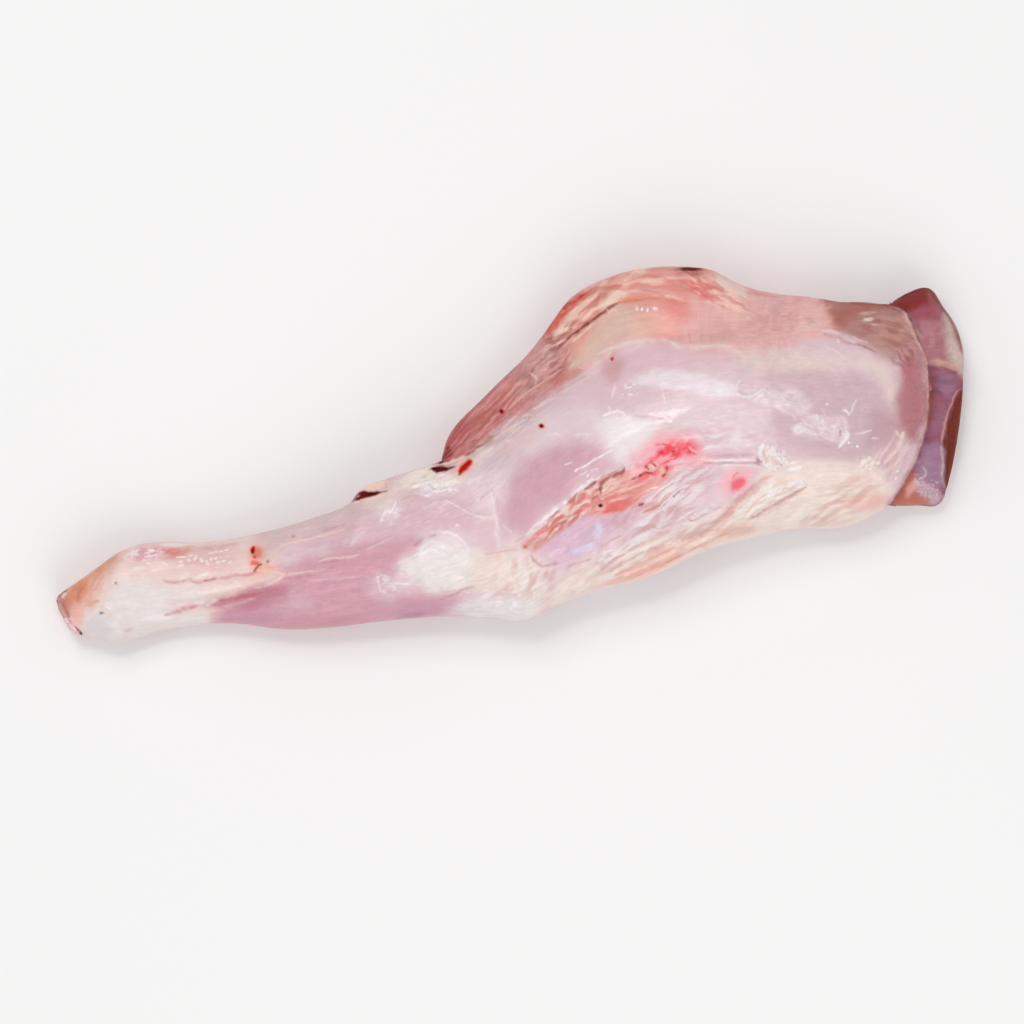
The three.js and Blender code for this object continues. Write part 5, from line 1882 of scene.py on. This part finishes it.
# %% Where the beads lie
# Each bead: a tint, its place, half its length and width in pixels, and its turn in degrees.
BEADS = [
    ("tendon", (211, 553), (3.1, 1.7), 12),  # upper row on the shank
    ("tendon", (215.5, 552), (2.6, 1.6), 12),
    ("tendon", (221, 551.5), (3.1, 1.8), 8),
    ("tendon", (226.5, 550), (2.9, 1.7), 14),
    ("tendon", (211, 559), (2.2, 2.6), 0),  # middle row
    ("tendon", (215.5, 558), (2.6, 2.3), 0),
    ("shank film", (221, 557), (2.6, 2.0), 10),
    ("shank film", (227, 556), (2.9, 1.9), 10),
    ("tendon", (218, 562), (2.8, 1.8), 0),  # lower row
    ("tendon", (223.5, 561), (2.6, 1.7), 14),
    ("tendon", (230, 562), (2.4, 1.4), 45),
    ("shank film", (217, 567.2), (3.4, 1.3), 0),
    ("tendon", (188.8, 560), (2.4, 2.2), 0),  # cluster beside them
    ("tendon", (195.6, 557.5), (4.3, 2.3), 72),
    ("tendon", (201.6, 560), (3.4, 2.6), -60),
    ("tendon", (207.2, 562.5), (3.8, 1.8), -62),
    ("tendon", (181, 557), (6.6, 1.8), -2),
    ("tendon", (191, 555.4), (3.6, 1.6), 20),
    ("tendon", (180.5, 561.6), (3.1, 1.7), 5),
    ("tendon", (181, 565.2), (4.1, 2.0), 8),
    ("shank film", (192, 565.4), (4.6, 1.6), -8),
    ("tendon", (164.6, 563.6), (4.6, 2.2), -38),
    ("shank film", (156, 561.4), (3.6, 1.7), 12),
    ("tendon", (148.4, 563), (2.9, 1.7), 8),
    # The beads of the wet band are small real bumps whose pale tints are painted highlights.
    ("silver", (152, 551), (3.1, 1.7), 10),  # wet band
    ("shank film", (157.4, 550.6), (2.9, 1.4), 20),
    ("shank film", (163, 551.6), (3.6, 1.4), -6),
    ("silver", (156, 555), (4.1, 2.0), 20),
    ("silver", (148.6, 556.6), (6.0, 1.7), 6),
    ("ivory", (864, 462), (4.6, 3.6), 30),  # end of the blade
    ("cream", (870, 458.6), (4.4, 3.2), -10),
    ("ivory", (873, 463.6), (4.6, 3.4), 20),
    ("cream", (867, 467), (4.4, 3.0), 60),
    ("warm cream", (874.4, 468.4), (3.8, 2.6), 20),
    ("ivory", (878, 463), (3.0, 2.2), 15),
    ("silver", (576, 470), (3.0, 2.0), 15),  # knob of the upper-arm strand
    ("silver", (849, 443), (1.7, 1.5), 0),  # drops on the blade
    ("silver", (857.4, 446.4), (2.1, 1.6), -30),
    ("silver", (827, 404), (1.6, 1.4), 20),
    ("silver", (897.6, 471), (1.7, 1.6), 0),
    ("silver", (642, 309), (2.6, 1.2), 80),  # drops on the straw band
    ("silver", (647.5, 310), (2.6, 1.3), 80),
    ("pale lilac", (67.6, 620.4), (4.0, 3.0), -20),  # cut end of the knuckle
    ("pale lilac", (72.6, 628), (5.2, 3.6), -55),
]
BEAD_HEIGHT = 0.6  # of its half width
BEAD_BLEND = 0.2
BEAD_SUNK = 0.3
BEAD_FINISH = (0, 0, 0.45)
STEEP = 0.35  # on a wall steeper than this a bead stands upright
print(len(BEADS), "beads")


# %% Points for the beads
def bead_points():
    """One point for each bead, with its size, turn and tint."""
    places, normals, under = on_meat([place for _, place, _, _ in BEADS])
    spins = []
    sizes = []
    for (_, _, (long, wide), degrees), normal in zip(BEADS, normals):
        up = Vector(normal) if normal[2] > STEEP else Vector((0, 0, 1))
        heading = Vector((np.cos(np.radians(degrees)), np.sin(np.radians(degrees)), 0))
        side = up.cross(heading).normalized()
        turn = Matrix((side.cross(up), side, up)).transposed()
        spins.append(turn.to_euler())
        sizes.append((long * PIXEL, wide * PIXEL, BEAD_HEIGHT * wide * PIXEL))
    mesh = bpy.data.meshes.new("bead points")
    mesh.from_pydata(places - BEAD_SUNK * np.array(sizes)[:, 2:] * normals, [], [])
    store(mesh, "size", "FLOAT_VECTOR", sizes)
    store(mesh, "spin", "FLOAT_VECTOR", spins)
    tints = [blended(tint, skin_tint, BEAD_BLEND) for (tint, *_), skin_tint in zip(BEADS, under)]
    store(mesh, "tint", "FLOAT_COLOR", tints)
    store(mesh, "finish", "FLOAT_VECTOR", np.tile(BEAD_FINISH, (len(BEADS), 1)))
    return mesh


# %% A ball on every point
def bead_tree():
    tree, given, made = geometry_tree("beads on points", [
        ("Roundness", "NodeSocketInt"),
        ("Material", "NodeSocketMaterial"),
    ])
    roundness = given.outputs["Roundness"]
    ball = add_node(tree, "GeometryNodeMeshIcoSphere", [("Radius", 1.0), ("Subdivisions", roundness)])
    turn = add_node(tree, "FunctionNodeEulerToRotation", [(0, stored(tree, "spin", "FLOAT_VECTOR"))])
    beads = add_node(tree, "GeometryNodeInstanceOnPoints", [
        (0, given.outputs["Geometry"]),
        (2, ball.outputs["Mesh"]),
        (5, turn.outputs[0]),
        (6, stored(tree, "size", "FLOAT_VECTOR")),
    ])
    finish_tree(tree, given, made, beads.outputs[0])
    return tree


grown("fat_beads", bead_points(), bead_tree(), {"Roundness": 3, "Material": RAW_MEAT})

# %% [markdown]
# ## Grains of fat
# The soft fat below the blade is pebbly. Nobody can place its grains one by one, so a tree scatters them:
# it takes a bed, which is the part of the skin that is fat, spreads points over it with a least distance,
# and puts a flat ball of random size on each.

# %% The beds
BEDS = ("fluffy fat", "fat ridge", "flap frost")
BED_EDGE = 0.6  # weight of a fat area from which grains lie on it
PALER = 0.2  # how far a grain's tint goes towards white fat
GRAIN_FINISH = (0, 0, 0.25)


def grain_bed():
    """The skin's faces inside the fat areas, with the skin's tint made paler."""
    skin = Skin(meat_mesh)
    inside = np.zeros(len(skin.points))
    for key in BEDS:
        _, soft, _, _, outline = AREAS[key]
        chosen, weight = area(skin, outline, soft, 0)
        inside[chosen] = np.maximum(inside[chosen], weight)
    corners = mesh_array(meat_mesh.loop_triangles, "vertices", 3).astype(int)
    faces = corners[inside[corners].min(axis=1) > BED_EDGE]
    used, renumbered = np.unique(faces, return_inverse=True)
    tint = mesh_array(meat_mesh.attributes["tint"].data, "color", 4)[used]
    tint[:, :3] += PALER * (TINTS["pad white"] - tint[:, :3])
    mesh = bpy.data.meshes.new("grain bed")
    mesh.from_pydata(skin.points[used], [], renumbered.reshape(-1, 3))
    store(mesh, "tint", "FLOAT_COLOR", tint)
    store(mesh, "finish", "FLOAT_VECTOR", np.tile(GRAIN_FINISH, (len(used), 1)))
    return mesh


# %% Scatter the grains
def grain_tree():
    tree, given, made = geometry_tree("scattered grains", [
        ("Spacing", "NodeSocketFloat"),
        ("Density", "NodeSocketFloat"),
        ("Smallest", "NodeSocketVector"),
        ("Largest", "NodeSocketVector"),
        ("Seed", "NodeSocketInt"),
        ("Material", "NodeSocketMaterial"),
    ])
    value = given.outputs
    spread = add_node(tree, "GeometryNodeDistributePointsOnFaces", [
        (0, value["Geometry"]),
        (2, value["Spacing"]),
        (3, value["Density"]),
        (6, value["Seed"]),
    ], distribute_method="POISSON")
    size = add_node(tree, "FunctionNodeRandomValue", [
        (0, value["Smallest"]),
        (1, value["Largest"]),
        (8, value["Seed"]),
    ], data_type="FLOAT_VECTOR")
    ball = add_node(tree, "GeometryNodeMeshUVSphere", [("Segments", 8), ("Rings", 5), ("Radius", 1.0)])
    grains = add_node(tree, "GeometryNodeInstanceOnPoints", [
        (0, spread.outputs["Points"]),
        (2, ball.outputs["Mesh"]),
        (5, spread.outputs["Rotation"]),
        (6, size.outputs[0]),
    ])
    finish_tree(tree, given, made, grains.outputs[0])
    return tree


grown("fat_grains", grain_bed(), grain_tree(), {
    "Spacing": 1.3 * MM,
    "Density": 2e6,
    "Smallest": (0.3 * MM, 0.25 * MM, 0.05 * MM),
    "Largest": (0.9 * MM, 0.6 * MM, 0.11 * MM),
    "Seed": 7,
    "Material": RAW_MEAT,
})
